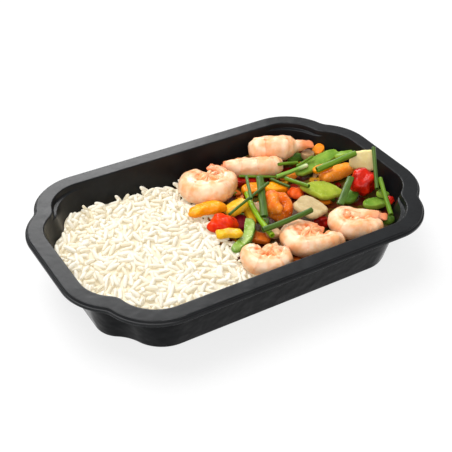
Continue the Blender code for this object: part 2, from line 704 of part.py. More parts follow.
def lay_chives():
    """Cut lengths of chive, strewn over the vegetables last."""
    return [
        lay("chive_rear", chive(30, 1.6), GREEN_CHIVE, (42, 29.5, 22.5), -24, -5),
        lay("chive_short", chive(14, 1.8), GREEN_CHIVE, (46, 17, 24), -69),
        lay("chive_middle", chive(18.5, 2.6), GREEN_CHIVE, (51.5, 7.5, 28), -76, 10),
        lay("chive_long_flat", chive(34, 4.5, flat=0.5), GREEN_CHIVE, (21.1, -0.7, 33.3), -118, -7),
        lay("chive_grey", chive(29, 1.9), GREEN_CHIVE, (17.2, 7.4, 36), -117, 8),
        lay("chive_bright", chive(45, 3.2, bow=14), GREEN_CHIVE, (13.5, -8.5, 28.5), -104, 2),
        lay("chive_cross", chive(36, 1.7), GREEN_CHIVE, (12.5, -0.6, 34.9), 19, 5),
        lay("chive_dark", chive(32, 3.2, bow=10), GREEN_CHIVE, (20.5, -28, 34), -2, 5),
        lay("chive_rear_b", chive(14, 2.0), GREEN_CHIVE, (58.5, 27.5, 28), -4, -10),
        lay("chive_rear_d", chive(13, 1.6), GREEN_CHIVE, (69.5, 25.5, 27), 6, 10),
        lay("chive_pale", chive(22, 2.6, bow=8), GREEN_CHIVE, (59, 23.5, 24.5), -3, 5),
        lay("chive_wide", chive(27, 3.6), GREEN_CHIVE, (76.5, 3.5, 37), -5, 10),
        lay("chive_leaf", chive(25, 4.2, flat=0.35), GREEN_CHIVE, (68.6, -17.2, 31), -141, -8),
        lay("chive_right", chive(31, 2.7), GREEN_CHIVE, (84.5, -34, 31.5), -116, -8),
        lay("chive_rim", chive(33, 2.4), GREEN_CHIVE, (93, -13, 36.5), -123, -15),
    ]


def main():
    """Make the tray and the heap, lay the pieces on it and strew the rice with grains."""
    clear_scene()
    tray = make_object("tray", tray_shape(), BLACK_PLASTIC)
    rice = trimmed("rice", rice_block(), BOILED_RICE)
    bed = trimmed("stir_fry_bed", bed_block(), BROWN_SAUCE)
    pieces = lay_shrimps() + lay_peppers() + lay_pods() + lay_roots() + lay_tomatoes() + lay_chives()
    bpy.context.view_layer.update()
    fuse(rice, lay_grains([tray, bed, *pieces]))


main()
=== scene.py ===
"""A ready meal in a black tray: boiled rice beside shrimps and stir-fried vegetables.

The tray stands on z = 0 with its middle at the origin, its long side along X and its back at +Y.
Sizes are in millimetres and turn into metres as each mesh is made.
"""

from __future__ import annotations

import logging
import math
import random
from abc import ABC, abstractmethod
from dataclasses import dataclass, field
from enum import Enum
from typing import Callable

import bpy
import numpy as np
from mathutils import Euler, Matrix, Vector, noise
from mathutils.bvhtree import BVHTree

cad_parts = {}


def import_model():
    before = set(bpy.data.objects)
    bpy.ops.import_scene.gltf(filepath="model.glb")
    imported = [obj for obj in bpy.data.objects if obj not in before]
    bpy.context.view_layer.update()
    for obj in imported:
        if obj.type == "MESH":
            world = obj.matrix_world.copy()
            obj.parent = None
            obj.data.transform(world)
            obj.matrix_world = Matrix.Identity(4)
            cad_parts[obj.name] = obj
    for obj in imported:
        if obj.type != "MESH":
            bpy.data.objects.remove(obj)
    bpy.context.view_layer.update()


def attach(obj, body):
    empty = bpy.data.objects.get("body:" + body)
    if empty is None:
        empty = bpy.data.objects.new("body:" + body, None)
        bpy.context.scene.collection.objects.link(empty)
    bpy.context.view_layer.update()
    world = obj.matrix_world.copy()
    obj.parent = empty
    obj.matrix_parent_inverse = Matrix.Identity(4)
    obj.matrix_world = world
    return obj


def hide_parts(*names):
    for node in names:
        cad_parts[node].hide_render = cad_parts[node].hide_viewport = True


LOG = logging.getLogger("ready_meal")
MM = 0.001
GAP = 0.3
NOISE_SEED = 5
Face = tuple[int, ...]
Relief = Callable[[np.ndarray, np.ndarray], np.ndarray]


def to_linear(code: str) -> tuple[float, float, float, float]:
    """Turn an sRGB hex colour into the linear colour that shaders take.

    Args:
        code: Six hex digits, with or without a leading #.

    Returns:
        Red, green, blue and an alpha of 1.
    """
    digits = code.lstrip("#")
    values = [int(digits[start : start + 2], 16) / 255 for start in (0, 2, 4)]
    line = [v / 12.92 if v <= 0.04045 else ((v + 0.055) / 1.055) ** 2.4 for v in values]
    return (line[0], line[1], line[2], 1.0)


def per_size(size_mm: float) -> float:
    """Scale of a pattern in a material whose features are of a size in millimetres."""
    return 1.0 / (size_mm * MM)


def add(tree: bpy.types.NodeTree, kind: str, settings: dict, links: dict) -> bpy.types.Node:
    """Add one node to a material with its settings and the links into it.

    Args:
        tree: The material's node tree.
        kind: Blender's name for the node, without ShaderNode in front.
        settings: Values by socket or property name. The key "stops" takes a ramp's colours.
        links: Output sockets by the name or number of the socket that they feed.

    Returns:
        The new node.
    """
    return fill(tree, tree.nodes.new("ShaderNode" + kind), settings, links)


def fill(
    tree: bpy.types.NodeTree, node: bpy.types.Node, settings: dict, links: dict
) -> bpy.types.Node:
    """Give a node its settings and the links into it, as `add` does.

    Args:
        tree: The material's node tree.
        node: The node.
        settings: Values by socket or property name. The key "stops" takes a ramp's colours.
        links: Output sockets by the name or number of the socket that they feed.

    Returns:
        The same node.
    """
    for key, value in settings.items():
        if key == "stops":
            ramp = node.color_ramp.elements
            while len(ramp) < len(value):
                ramp.new(0.5)
            for element, (place, code) in zip(ramp, value):
                element.position = place
                element.color = to_linear(code)
        elif isinstance(key, int) or key in node.inputs:
            node.inputs[key].default_value = value
        else:
            setattr(node, key, value)
    for socket, source in links.items():
        tree.links.new(source, node.inputs[socket])
    return node


# Meshes


@dataclass(frozen=True)
class Place:
    """Where a piece lies: its middle, then its turn in plan, pitch and roll in degrees."""

    x: float
    y: float
    z: float
    heading: float = 0.0
    pitch: float = 0.0
    roll: float = 0.0

    def matrix(self) -> np.ndarray:
        """The turn as a 3 by 3 matrix."""
        turn = (math.radians(self.roll), -math.radians(self.pitch), math.radians(self.heading))
        return np.array(Euler(turn, "XYZ").to_matrix())


@dataclass
class Skin:
    """A closed surface in millimetres, with values at its points that its finish reads."""

    points: np.ndarray
    faces: list[Face]
    paint: dict[str, np.ndarray] = field(default_factory=dict)

    def placed(self, place: Place) -> Skin:
        """The same skin turned and moved to its place."""
        points = self.points @ place.matrix().T + (place.x, place.y, place.z)
        return Skin(points, self.faces, self.paint)

    def outward(self) -> Skin:
        """The same skin with its faces pointing out."""
        corners = [
            (face[0], face[k], face[k + 1]) for face in self.faces for k in range(1, len(face) - 1)
        ]
        a, b, c = (self.points[[corner[k] for corner in corners]] for k in range(3))
        volume = np.einsum("ij,ij->", a, np.cross(b, c))
        faces = self.faces if volume > 0 else [face[::-1] for face in self.faces]
        return Skin(self.points, faces, self.paint)

    def to_object(self, name: str, finish: Finish, crease: float = 60.0) -> bpy.types.Object:
        """Make the Blender object.

        Args:
            name: The object's name.
            finish: What its surface is.
            crease: Edges sharper than this many degrees stay sharp in shading.

        Returns:
            The object, linked to the scene.
        """
        mesh = bpy.data.meshes.new(name)
        mesh.from_pydata((self.points * MM).tolist(), [], self.faces)
        mesh.update()
        mesh.shade_smooth()
        mesh.set_sharp_from_angle(angle=math.radians(crease))
        for label, values in self.paint.items():
            layer = mesh.attributes.new(label, "FLOAT", "POINT")
            layer.data.foreach_set("value", np.ascontiguousarray(values, np.float32))
        mesh.materials.append(finish.material())
        made = bpy.data.objects.new(name, mesh)
        bpy.context.scene.collection.objects.link(made)
        return made


def joined(skins: list[Skin]) -> Skin:
    """Several skins as one, each still closed in itself."""
    faces: list[Face] = []
    start = 0
    for skin in skins:
        faces += [tuple(index + start for index in face) for face in skin.faces]
        start += len(skin.points)
    labels = skins[0].paint.keys()
    paint = {label: np.concatenate([skin.paint[label] for skin in skins]) for label in labels}
    return Skin(np.vstack([skin.points for skin in skins]), faces, paint)


def ring_faces(rings: int, count: int, tips: bool) -> list[Face]:
    """Faces of a skin over rings of points, shut at both ends.

    Args:
        rings: Number of rings.
        count: Points in each ring.
        tips: Whether the ends run to one point each, which come last, or are flat faces.

    Returns:
        Faces that all turn the same way.
    """
    step = np.arange(count)
    after = (step + 1) % count
    here = np.arange(rings - 1)[:, None] * count
    quads = np.stack(
        [here + step, here + after, here + count + after, here + count + step], axis=-1
    )
    faces = [tuple(quad) for quad in quads.reshape(-1, 4).tolist()]
    last = (rings - 1) * count
    if tips:
        faces += [(int(b), int(a), rings * count) for a, b in zip(step, after)]
        faces += [(int(a) + last, int(b) + last, rings * count + 1) for a, b in zip(step, after)]
    else:
        faces.append(tuple(range(count))[::-1])
        faces.append(tuple(range(last, last + count)))
    return faces


def bumps(x: float, y: float, size: float, seed: float) -> float:
    """A smooth noise from -1 to 1 whose bumps are of a given size."""
    return noise.noise(Vector((x / size, y / size, seed)))


def hump(x: float, y: float, middle: tuple[float, float], reach: tuple[float, float]) -> float:
    """Height of a round hump of height 1 that fades out over its reach along X and Y."""
    return math.exp(-(((x - middle[0]) / reach[0]) ** 2 + ((y - middle[1]) / reach[1]) ** 2))


def roughened(skin: Skin, depth: float, size: float, seed: float) -> Skin:
    """A skin whose points are pushed about by a smooth noise.

    Args:
        skin: The skin about its own middle.
        depth: Largest push in millimetres.
        size: Size of one bump in millimetres.
        seed: Which noise.

    Returns:
        The uneven skin.
    """
    shift = [
        noise.noise_vector(Vector(point) / size + Vector((seed, 0.0, 0.0)))
        for point in skin.points.tolist()
    ]
    return Skin(skin.points + np.array(shift) * depth, skin.faces, skin.paint)


def arc_path(
    length: float, turn: float, steps: int, bend: float = 1.0, shift: float = 0.0
) -> np.ndarray:
    """Points along a line in plan that turns over the middle share of its length.

    Args:
        length: Length along the line.
        turn: Degrees that it turns in all.
        steps: Number of points.
        bend: Share of the length over which it turns.
        shift: How much later than its middle the line turns.

    Returns:
        Points about the middle of the line's box.
    """
    share = np.linspace(0.0, 1.0, steps)
    step = length / (steps - 1)
    middle = (share[1:] + share[:-1]) - 1.0 - shift
    heading = math.radians(turn) / 2 * np.clip(middle / bend, -1.0, 1.0)
    x = np.concatenate([[0.0], np.cumsum(np.cos(heading))]) * step
    y = np.concatenate([[0.0], np.cumsum(np.sin(heading))]) * step
    path = np.stack([x, y, np.zeros(steps)], axis=1)
    return path - (path.min(axis=0) + path.max(axis=0)) / 2


def sweep(
    path: np.ndarray, wide: np.ndarray, high: np.ndarray, keel: np.ndarray, sides: int,
    relief: Relief,
) -> Skin:
    """A rounded tube round a path.

    Args:
        path: Points along its middle.
        wide: Half its width at each point.
        high: Half its height at each point.
        keel: Share by which it is wider on its left side, or on its right if negative.
        sides: Points round it.
        relief: Share by which it swells, from the share of its length and the angle round it.

    Returns:
        The skin, painted with along (0 to 1) and around (-1 to 1, at its right and left side).
    """
    way = np.gradient(path, axis=0)
    way /= np.linalg.norm(way, axis=1)[:, None]
    left = np.cross((0.0, 0.0, 1.0), way)
    left /= np.linalg.norm(left, axis=1)[:, None]
    top = np.cross(way, left)
    share = np.linspace(0.0, 1.0, len(path))
    turn = math.tau * (np.arange(sides) + 0.5) / sides
    swell = 1.0 + relief(share[:, None], turn[None, :])
    reach = 1.0 + np.clip(np.sign(np.cos(turn)) * keel[:, None], 0.0, None)
    ring = left[:, None] * (wide[:, None] * np.cos(turn) * reach)[..., None]
    ring = ring + top[:, None] * (high[:, None] * np.sin(turn))[..., None]
    rings = path[:, None] + ring * swell[..., None]
    along = [np.full(sides, value) for value in share]
    body = list(rings)
    for end, sign in ((0, -1.0), (len(path) - 1, 1.0)):
        bulge = min(wide[end], high[end]) * 0.3
        for angle in (0.6, 1.15):
            cap = path[end] + (rings[end] - path[end]) * math.cos(angle)
            cap = cap + sign * way[end] * bulge * math.sin(angle)
            body.insert(0, cap) if sign < 0 else body.append(cap)
            along.insert(0, along[0]) if sign < 0 else along.append(along[-1])
    tips = [
        path[0] - way[0] * min(wide[0], high[0]) * 0.3,
        path[-1] + way[-1] * min(wide[-1], high[-1]) * 0.3,
    ]
    points = np.vstack([*body, *tips])
    around = np.tile(np.cos(turn), len(body))
    paint = {
        "along": np.concatenate([*along, [0.0, 1.0]]),
        "around": np.concatenate([around, [0.0, 0.0]]),
        "above": np.concatenate([np.tile(np.sin(turn), len(body)), [0.0, 0.0]]),
    }
    return Skin(points, ring_faces(len(body), sides, tips=True), paint)


# Finishes


@dataclass(frozen=True)
class Finish(ABC):
    """What a surface is made of and how it came about."""

    name: str

    def material(self) -> bpy.types.Material:
        """The finish's material, made once."""
        found = bpy.data.materials.get(self.name)
        if found is not None:
            return found
        made = bpy.data.materials.new(self.name)
        made.use_nodes = True
        self.dress(made.node_tree, made.node_tree.nodes["Principled BSDF"])
        return made

    @abstractmethod
    def dress(self, tree: bpy.types.NodeTree, shader: bpy.types.Node) -> None:
        """Set the shader's sockets and link its patterns."""


@dataclass(frozen=True)
class ThermoformedPolyester(Finish):
    """Crystalline polyester, drawn warm over a mould: near black, satin, faintly wavy."""

    name: str = "thermoformed_polyester"
    colour: str = "#101113"
    worn: str = "#16181a"
    roughness: float = 0.30
    shine: float = 0.17
    wave: float = 0.22
    wave_mm: float = 9.0
    orange_peel_mm: float = 1.4

    def dress(self, tree: bpy.types.NodeTree, shader: bpy.types.Node) -> None:
        """Satin black, with the slow waves of a drawn sheet and the fine skin of its mould."""
        where = add(tree, "TexCoord", {}, {})
        waves = add(
            tree, "TexNoise", {"Scale": per_size(self.wave_mm), "Detail": 2.0},
            {"Vector": where.outputs["Object"]},
        )
        peel = add(
            tree, "TexNoise", {"Scale": per_size(self.orange_peel_mm), "Detail": 3.0},
            {"Vector": where.outputs["Object"]},
        )
        tint = add(
            tree, "ValToRGB", {"stops": [(0.35, self.colour), (0.75, self.worn)]},
            {"Fac": waves.outputs["Fac"]},
        )
        gloss = add(
            tree, "MapRange", {"To Min": self.roughness - 0.05, "To Max": self.roughness + 0.08},
            {"Value": peel.outputs["Fac"]},
        )
        slow = add(
            tree, "Bump", {"Strength": self.wave, "Distance": 0.0010},
            {"Height": waves.outputs["Fac"]},
        )
        fine = add(
            tree, "Bump", {"Strength": 0.05, "Distance": 0.0002},
            {"Height": peel.outputs["Fac"], "Normal": slow.outputs["Normal"]},
        )
        values = {"IOR": 1.57, "Specular IOR Level": self.shine}
        links = {
            "Base Color": tint.outputs["Color"], "Roughness": gloss.outputs["Result"],
            "Normal": fine.outputs["Normal"],
        }
        fill(tree, shader, values, links)


@dataclass(frozen=True)
class SteamedLongGrainRice(Finish):
    """Steamed starch, milky and passing light on; a painted glow keeps the gaps between grains
    pale.
    """

    name: str = "steamed_long_grain_rice"
    pale: str = "#d6d2c8"
    warm: str = "#d2c9b4"
    between: str = "#fff0cc"
    painted_glow: float = 0.20
    roughness: float = 0.50
    scatter_mm: float = 1.5

    def dress(self, tree: bpy.types.NodeTree, shader: bpy.types.Node) -> None:
        """Milky white with a tone for each grain, moist on its skin."""
        tone = add(tree, "Attribute", {"attribute_name": "tone"}, {})
        tint = add(
            tree, "ValToRGB", {"stops": [(0.0, self.warm), (0.55, self.pale)]},
            {"Fac": tone.outputs["Fac"]},
        )
        values = {
            "Roughness": self.roughness,
            "IOR": 1.40,
            "Specular IOR Level": 0.35,
            # A faint warm glow over all the rice is painted light: it lifts the shade in the gaps
            # between the grains
            "Emission Color": to_linear(self.between),
            "Emission Strength": self.painted_glow,
            "Subsurface Weight": 0.40,
            "Subsurface Radius": (1.0, 0.95, 0.85),
            "Subsurface Scale": self.scatter_mm * MM,
        }
        links = {"Base Color": tint.outputs["Color"]}
        fill(tree, shader, values, links)


@dataclass(frozen=True)
class BoiledShrimpFlesh(Finish):
    """Peeled and boiled flesh: cream muscle, orange along its creases, its back and its tail."""

    name: str = "boiled_shrimp_flesh"
    cream: str = "#f7d0ac"
    peach: str = "#f1b07a"
    orange: str = "#ea7a34"
    tail: str = "#e56a28"
    fibre_mm: float = 3.2
    roughness: float = 0.33

    def dress(self, tree: bpy.types.NodeTree, shader: bpy.types.Node) -> None:
        """Cream to peach in soft patches, orange lines at each segment, a wet skin over it."""
        where = add(tree, "TexCoord", {}, {})
        along = add(tree, "Attribute", {"attribute_name": "along"}, {})
        crease = add(tree, "Attribute", {"attribute_name": "crease"}, {})
        patch = add(
            tree, "TexNoise", {"Scale": per_size(self.fibre_mm * 2.2), "Detail": 3.0},
            {"Vector": where.outputs["Object"]},
        )
        fibre = add(
            tree, "TexNoise", {"Scale": per_size(self.fibre_mm), "Detail": 4.0, "Distortion": 1.2},
            {"Vector": where.outputs["Object"]},
        )
        flesh = add(
            tree, "ValToRGB", {"stops": [(0.40, self.cream), (0.62, self.peach)]},
            {"Fac": patch.outputs["Fac"]},
        )
        line = add(
            tree, "Math", {"operation": "MULTIPLY"},
            {0: crease.outputs["Fac"], 1: fibre.outputs["Fac"]},
        )
        strong = add(
            tree, "MapRange", {"From Min": 0.16, "From Max": 0.55, "To Max": 0.90},
            {"Value": line.outputs["Value"]},
        )
        veined = add(
            tree, "Mix", {"data_type": "RGBA", 7: to_linear(self.orange)},
            {0: strong.outputs["Result"], 6: flesh.outputs["Color"]},
        )
        near_tail = add(
            tree, "MapRange", {"From Min": 0.78, "From Max": 0.97, "To Max": 0.75},
            {"Value": along.outputs["Fac"]},
        )
        whole = add(
            tree, "Mix", {"data_type": "RGBA", 7: to_linear(self.tail)},
            {0: near_tail.outputs["Result"], 6: veined.outputs[2]},
        )
        bump = add(
            tree, "Bump", {"Strength": 0.25, "Distance": 0.0005}, {"Height": fibre.outputs["Fac"]}
        )
        values = {
            "Roughness": self.roughness,
            "IOR": 1.38,
            "Coat Weight": 0.25,
            "Coat Roughness": 0.14,
            "Subsurface Weight": 0.25,
            "Subsurface Radius": (1.0, 0.7, 0.4),
            "Subsurface Scale": 1.6 * MM,
        }
        links = {"Base Color": whole.outputs[2], "Normal": bump.outputs["Normal"]}
        fill(tree, shader, values, links)


@dataclass(frozen=True)
class CookedVegetable(Finish):
    """Fried vegetable flesh: patches of two tones, a third at its cut edges, oil on its skin."""

    light: str = "#ffffff"
    dark: str = "#000000"
    rim: str = "#888888"
    speck: str = "#ffffff"
    patch_mm: float = 6.0
    speck_mm: float = 1.5
    specks: float = 0.0
    roughness: float = 0.28
    oil: float = 0.20
    scatter: float = 0.10
    shine: float = 0.14

    def dress(self, tree: bpy.types.NodeTree, shader: bpy.types.Node) -> None:
        """Two tones in soft patches, the cut edge, pale specks and a thin coat of oil."""
        where = add(tree, "TexCoord", {}, {})
        edge = add(tree, "Attribute", {"attribute_name": "edge"}, {})
        patch = add(
            tree, "TexNoise", {"Scale": per_size(self.patch_mm), "Detail": 3.0},
            {"Vector": where.outputs["Object"]},
        )
        grain = add(
            tree, "TexNoise", {"Scale": per_size(self.speck_mm), "Detail": 3.0},
            {"Vector": where.outputs["Object"]},
        )
        flesh = add(
            tree, "ValToRGB", {"stops": [(0.34, self.dark), (0.66, self.light)]},
            {"Fac": patch.outputs["Fac"]},
        )
        cut = add(
            tree, "MapRange", {"From Min": 0.80, "From Max": 1.0, "To Max": 0.8},
            {"Value": edge.outputs["Fac"]},
        )
        rimmed = add(
            tree, "Mix", {"data_type": "RGBA", 7: to_linear(self.rim)},
            {0: cut.outputs["Result"], 6: flesh.outputs["Color"]},
        )
        dots = add(
            tree, "MapRange", {"From Min": 0.58, "From Max": 0.72, "To Max": self.specks},
            {"Value": grain.outputs["Fac"]},
        )
        whole = add(
            tree, "Mix", {"data_type": "RGBA", 7: to_linear(self.speck)},
            {0: dots.outputs["Result"], 6: rimmed.outputs[2]},
        )
        bump = add(
            tree, "Bump", {"Strength": 0.30, "Distance": 0.0004}, {"Height": grain.outputs["Fac"]}
        )
        values = {
            "Roughness": self.roughness,
            "Specular IOR Level": self.shine,
            "Coat Weight": self.oil * 0.5,
            "Coat Roughness": 0.16,
            "Subsurface Weight": self.scatter,
            "Subsurface Radius": (1.0, 0.6, 0.3),
            "Subsurface Scale": 1.0 * MM,
        }
        links = {"Base Color": whole.outputs[2], "Normal": bump.outputs["Normal"]}
        fill(tree, shader, values, links)


@dataclass(frozen=True)
class CutChiveLeaf(Finish):
    """A hollow leaf, cut and blanched: fine lines along it, paler where cut near the root."""

    colour: str = "#3f7a33"
    deep: str = "#28562a"
    root: str = "#9dbd63"
    root_share: float = 0.0
    line_mm: float = 0.7
    roughness: float = 0.34

    def dress(self, tree: bpy.types.NodeTree, shader: bpy.types.Node) -> None:
        """Green lines that run along the leaf, and a shine on its upper side."""
        along = add(tree, "Attribute", {"attribute_name": "along"}, {})
        around = add(tree, "Attribute", {"attribute_name": "around"}, {})
        above = add(tree, "Attribute", {"attribute_name": "above"}, {})
        place = add(
            tree, "CombineXYZ", {},
            {0: along.outputs["Fac"], 1: around.outputs["Fac"], 2: above.outputs["Fac"]},
        )
        # Lines of 0.7 mm are stretched along the leaf, so that they show as streaks
        stretched = add(
            tree, "VectorMath",
            {"operation": "MULTIPLY", 1: (2.5, 2.2 / self.line_mm, 2.2 / self.line_mm)},
            {0: place.outputs["Vector"]},
        )
        lines = add(
            tree, "TexNoise", {"Scale": 1.0, "Detail": 3.0}, {"Vector": stretched.outputs["Vector"]}
        )
        green = add(
            tree, "ValToRGB", {"stops": [(0.35, self.deep), (0.62, self.colour)]},
            {"Fac": lines.outputs["Fac"]},
        )
        pale = add(
            tree, "MapRange",
            {
                "From Min": 1.0 - max(self.root_share, 0.01), "From Max": 1.0,
                "To Max": 1.0 if self.root_share else 0.0,
            },
            {"Value": along.outputs["Fac"]},
        )
        whole = add(
            tree, "Mix", {"data_type": "RGBA", 7: to_linear(self.root)},
            {0: pale.outputs["Result"], 6: green.outputs["Color"]},
        )
        bump = add(
            tree, "Bump", {"Strength": 0.15, "Distance": 0.0003}, {"Height": lines.outputs["Fac"]}
        )
        values = {
            "Roughness": self.roughness,
            "Specular IOR Level": 0.25,
            "Coat Weight": 0.08,
            "Coat Roughness": 0.2,
        }
        links = {"Base Color": whole.outputs[2], "Normal": bump.outputs["Normal"]}
        fill(tree, shader, values, links)


@dataclass(frozen=True)
class SauceScrapsAndShade(Finish):
    """Sauce over soft scraps of vegetable: moist, in cells of red, brown, orange and green, kept
    dark as painted shade.
    """

    name: str = "sauce_scraps_and_shade"
    scrap_mm: float = 5.5
    roughness: float = 0.42

    def dress(self, tree: bpy.types.NodeTree, shader: bpy.types.Node) -> None:
        """Cells the size of a scrap, each of its own colour, their borders blurred by the sauce."""
        where = add(tree, "TexCoord", {}, {})
        sway = add(
            tree, "TexNoise", {"Scale": per_size(4.0), "Detail": 2.0},
            {"Vector": where.outputs["Object"]},
        )
        moved = add(
            tree, "VectorMath", {"operation": "MULTIPLY_ADD", 1: (0.003, 0.003, 0.003)},
            {0: sway.outputs["Color"], 2: where.outputs["Object"]},
        )
        cells = add(
            tree, "TexVoronoi",
            {"Scale": per_size(self.scrap_mm), "feature": "SMOOTH_F1", "Smoothness": 0.25},
            {"Vector": moved.outputs["Vector"]},
        )
        apart = add(tree, "SeparateColor", {}, {0: cells.outputs["Color"]})
        # The sauce's and scraps' own colours, darkened further as painted shade for the gaps
        # between the pieces above
        stops = [
            (0.0, "#240a05"), (0.3, "#64160a"), (0.45, "#7c380a"), (0.6, "#3c4210"),
            (0.75, "#645210"), (1.0, "#460e04"),
        ]
        tint = add(tree, "ValToRGB", {"stops": stops}, {"Fac": apart.outputs["Red"]})
        fine = add(
            tree, "TexNoise", {"Scale": per_size(2.0), "Detail": 4.0},
            {"Vector": where.outputs["Object"]},
        )
        bump = add(
            tree, "Bump", {"Strength": 0.5, "Distance": 0.0012}, {"Height": fine.outputs["Fac"]}
        )
        values = {"Roughness": self.roughness, "Specular IOR Level": 0.25}
        links = {"Base Color": tint.outputs["Color"], "Normal": bump.outputs["Normal"]}
        fill(tree, shader, values, links)


@dataclass(frozen=True)
class BacklitOpalBoard(Finish):
    """Opal acrylic lit from below, as on a light table: near white, so shadows stay faint."""

    name: str = "backlit_opal_board"
    colour: str = "#7c7c7c"
    glow: float = 0.77

    def dress(self, tree: bpy.types.NodeTree, shader: bpy.types.Node) -> None:
        """An even glow, and a barely visible unevenness in the sheet."""
        where = add(tree, "TexCoord", {}, {})
        fine = add(tree, "TexNoise", {"Scale": per_size(4.0)}, {"Vector": where.outputs["Object"]})
        tint = add(
            tree, "ValToRGB", {"stops": [(0.0, "#787878"), (1.0, self.colour)]},
            {"Fac": fine.outputs["Fac"]},
        )
        values = {
            "Emission Color": to_linear("#ffffff"),
            "Emission Strength": self.glow,
            "Roughness": 0.9,
            "Specular IOR Level": 0.1,
        }
        links = {"Base Color": tint.outputs["Color"]}
        fill(tree, shader, values, links)


TRAY_PLASTIC = ThermoformedPolyester()
# The side that lay on the mould is smoother, with longer waves; its darker colour and weak shine
# are painted shade, keeping the outer walls near black under the front light
TRAY_OUTSIDE_SHADED = ThermoformedPolyester(
    "thermoformed_polyester_outside_shaded", "#090a0c", "#0f1012", 0.15, 0.045, 0.7, 11.0
)
RICE = SteamedLongGrainRice()
SHRIMP = BoiledShrimpFlesh()
SAUCE_AND_SHADE = SauceScrapsAndShade()
# For each vegetable: its light, dark, edge and speck colours, the sizes of its patches and specks
# in millimetres, then how much it is specked, its roughness, its oil, and light in it and off it
# Peppers: saturated and glassy where the skin shows, paler where the flesh was cut
YELLOW_PEPPER = CookedVegetable(
    "fried_yellow_pepper", "#f4a204", "#e07e00", "#e88c00", "#ffd860", 7.0, 1.8, 0.22, 0.34, 0.2
)
PALE_PEPPER = CookedVegetable(
    "fried_pale_yellow_pepper", "#ecbc22", "#d2920c", "#dca618", "#fdf0b0", 6.0, 1.6, 0.20, 0.34,
    0.2,
)
ORANGE_PEPPER = CookedVegetable(
    "fried_orange_pepper", "#f8981a", "#e87408", "#ee880c", "#ffc070", 6.0, 1.6, 0.2, 0.32, 0.2
)
RED_PEPPER = CookedVegetable(
    "fried_red_pepper", "#b3150e", "#6c0a07", "#8f1a0c", "#e0553a", 5.0, 1.5, 0.2, 0.3, 0.25
)
# Tomatoes: the reddest pieces, soft and wet, with light in their flesh
TOMATO = CookedVegetable(
    "stewed_tomato", "#f04004", "#d02002", "#e03004", "#ff9a48", 6.0, 1.8, 0.15, 0.28, 0.2, 0.05,
    0.10,
)
DEEP_TOMATO = CookedVegetable(
    "stewed_deep_tomato", "#cf220c", "#980c04", "#b61404", "#f0604c", 5.0, 2.0, 0.2, 0.26, 0.3,
    0.05, 0.12,
)
# Pods: light yellow-green skins, almost matt, and pale flesh where one is opened
BRIGHT_POD = CookedVegetable(
    "blanched_bright_pod", "#a6b23a", "#869a26", "#b8c43e", "#d6dd90", 8.0, 1.4, 0.25, 0.38, 0.12
)
GREEN_POD = CookedVegetable(
    "blanched_green_pod", "#84a63a", "#608a28", "#9abb40", "#c3d492", 7.0, 1.5, 0.25, 0.38, 0.15
)
SHADED_POD = CookedVegetable(
    "blanched_shaded_pod", "#5f8a2a", "#436a1a", "#6f9430", "#90a860", 6.0, 1.5, 0.15, 0.38, 0.15
)
FLESH_POD = CookedVegetable(
    "cut_pod_flesh", "#a9be6a", "#789c30", "#4c7c10", "#f4f8dc", 5.0, 1.2, 0.5, 0.36, 0.15
)
# Carrots: even orange, dull beside the peppers, one of them in pale specks, with a dark red painted
# shade in its hollow
CARROT = CookedVegetable(
    "fried_carrot", "#ffa238", "#ff9020", "#ff9a30", "#ffe0c0", 6.0, 1.3, 0.35, 0.34, 0.2
)
# Its edge colour, a dark red, fills the chunk's hollow as painted shade
SPECKED_CARROT_HOLLOW_SHADE = CookedVegetable(
    "specked_carrot_hollow_shade", "#ff9c2a", "#e4620e", "#a02c08", "#fbdcc4", 7.5, 0.9, 0.70, 0.40, 0.15
)
DEEP_CARROT = CookedVegetable(
    "fried_deep_carrot", "#f56a22", "#df440c", "#ea5414", "#ffb080", 6.0, 1.5, 0.2, 0.38, 0.15
)
BROWN_CARROT = CookedVegetable(
    "sauced_carrot", "#d8701c", "#a8480e", "#c05c12", "#f0a060", 5.0, 1.5, 0.2, 0.32, 0.3
)
# Shoot and onion: cream to brown, the onion letting light through
PALE_ROOT = CookedVegetable(
    "sliced_bamboo_shoot", "#cab488", "#b0986a", "#bca67a", "#e6d8b4", 6.0, 1.2, 0.3, 0.40, 0.15,
    0.15,
)
PALE_ONION = CookedVegetable(
    "steamed_onion", "#ecdca4", "#dccb88", "#e8d894", "#f7efca", 7.0, 1.5, 0.3, 0.34, 0.2, 0.2
)
BROWN_ONION = CookedVegetable(
    "browned_onion", "#cdb08a", "#a47e58", "#bc966c", "#e4ccb0", 5.0, 1.5, 0.2, 0.34, 0.2, 0.15
)
RED_ONION = CookedVegetable(
    "red_onion_skin", "#8d1c2a", "#6c101c", "#7a1420", "#b85060", 5.0, 1.2, 0.2, 0.3, 0.25
)
# Chives: five greens, from the dark tips to the pale foot of the leaf
DARK_CHIVE = CutChiveLeaf("cut_chive_dark", "#4f6c20", "#324c14")
BLUE_CHIVE = CutChiveLeaf("cut_chive_blue", "#547a34", "#3a5c28")
GREEN_CHIVE = CutChiveLeaf("cut_chive_green", "#6c9020", "#4a6e12")
BRIGHT_CHIVE = CutChiveLeaf("cut_chive_bright", "#92b41a", "#6e9a12")
PALE_CHIVE = CutChiveLeaf("cut_chive_pale", "#8fb84e", "#669a34", "#d8e2b0", 0.35)
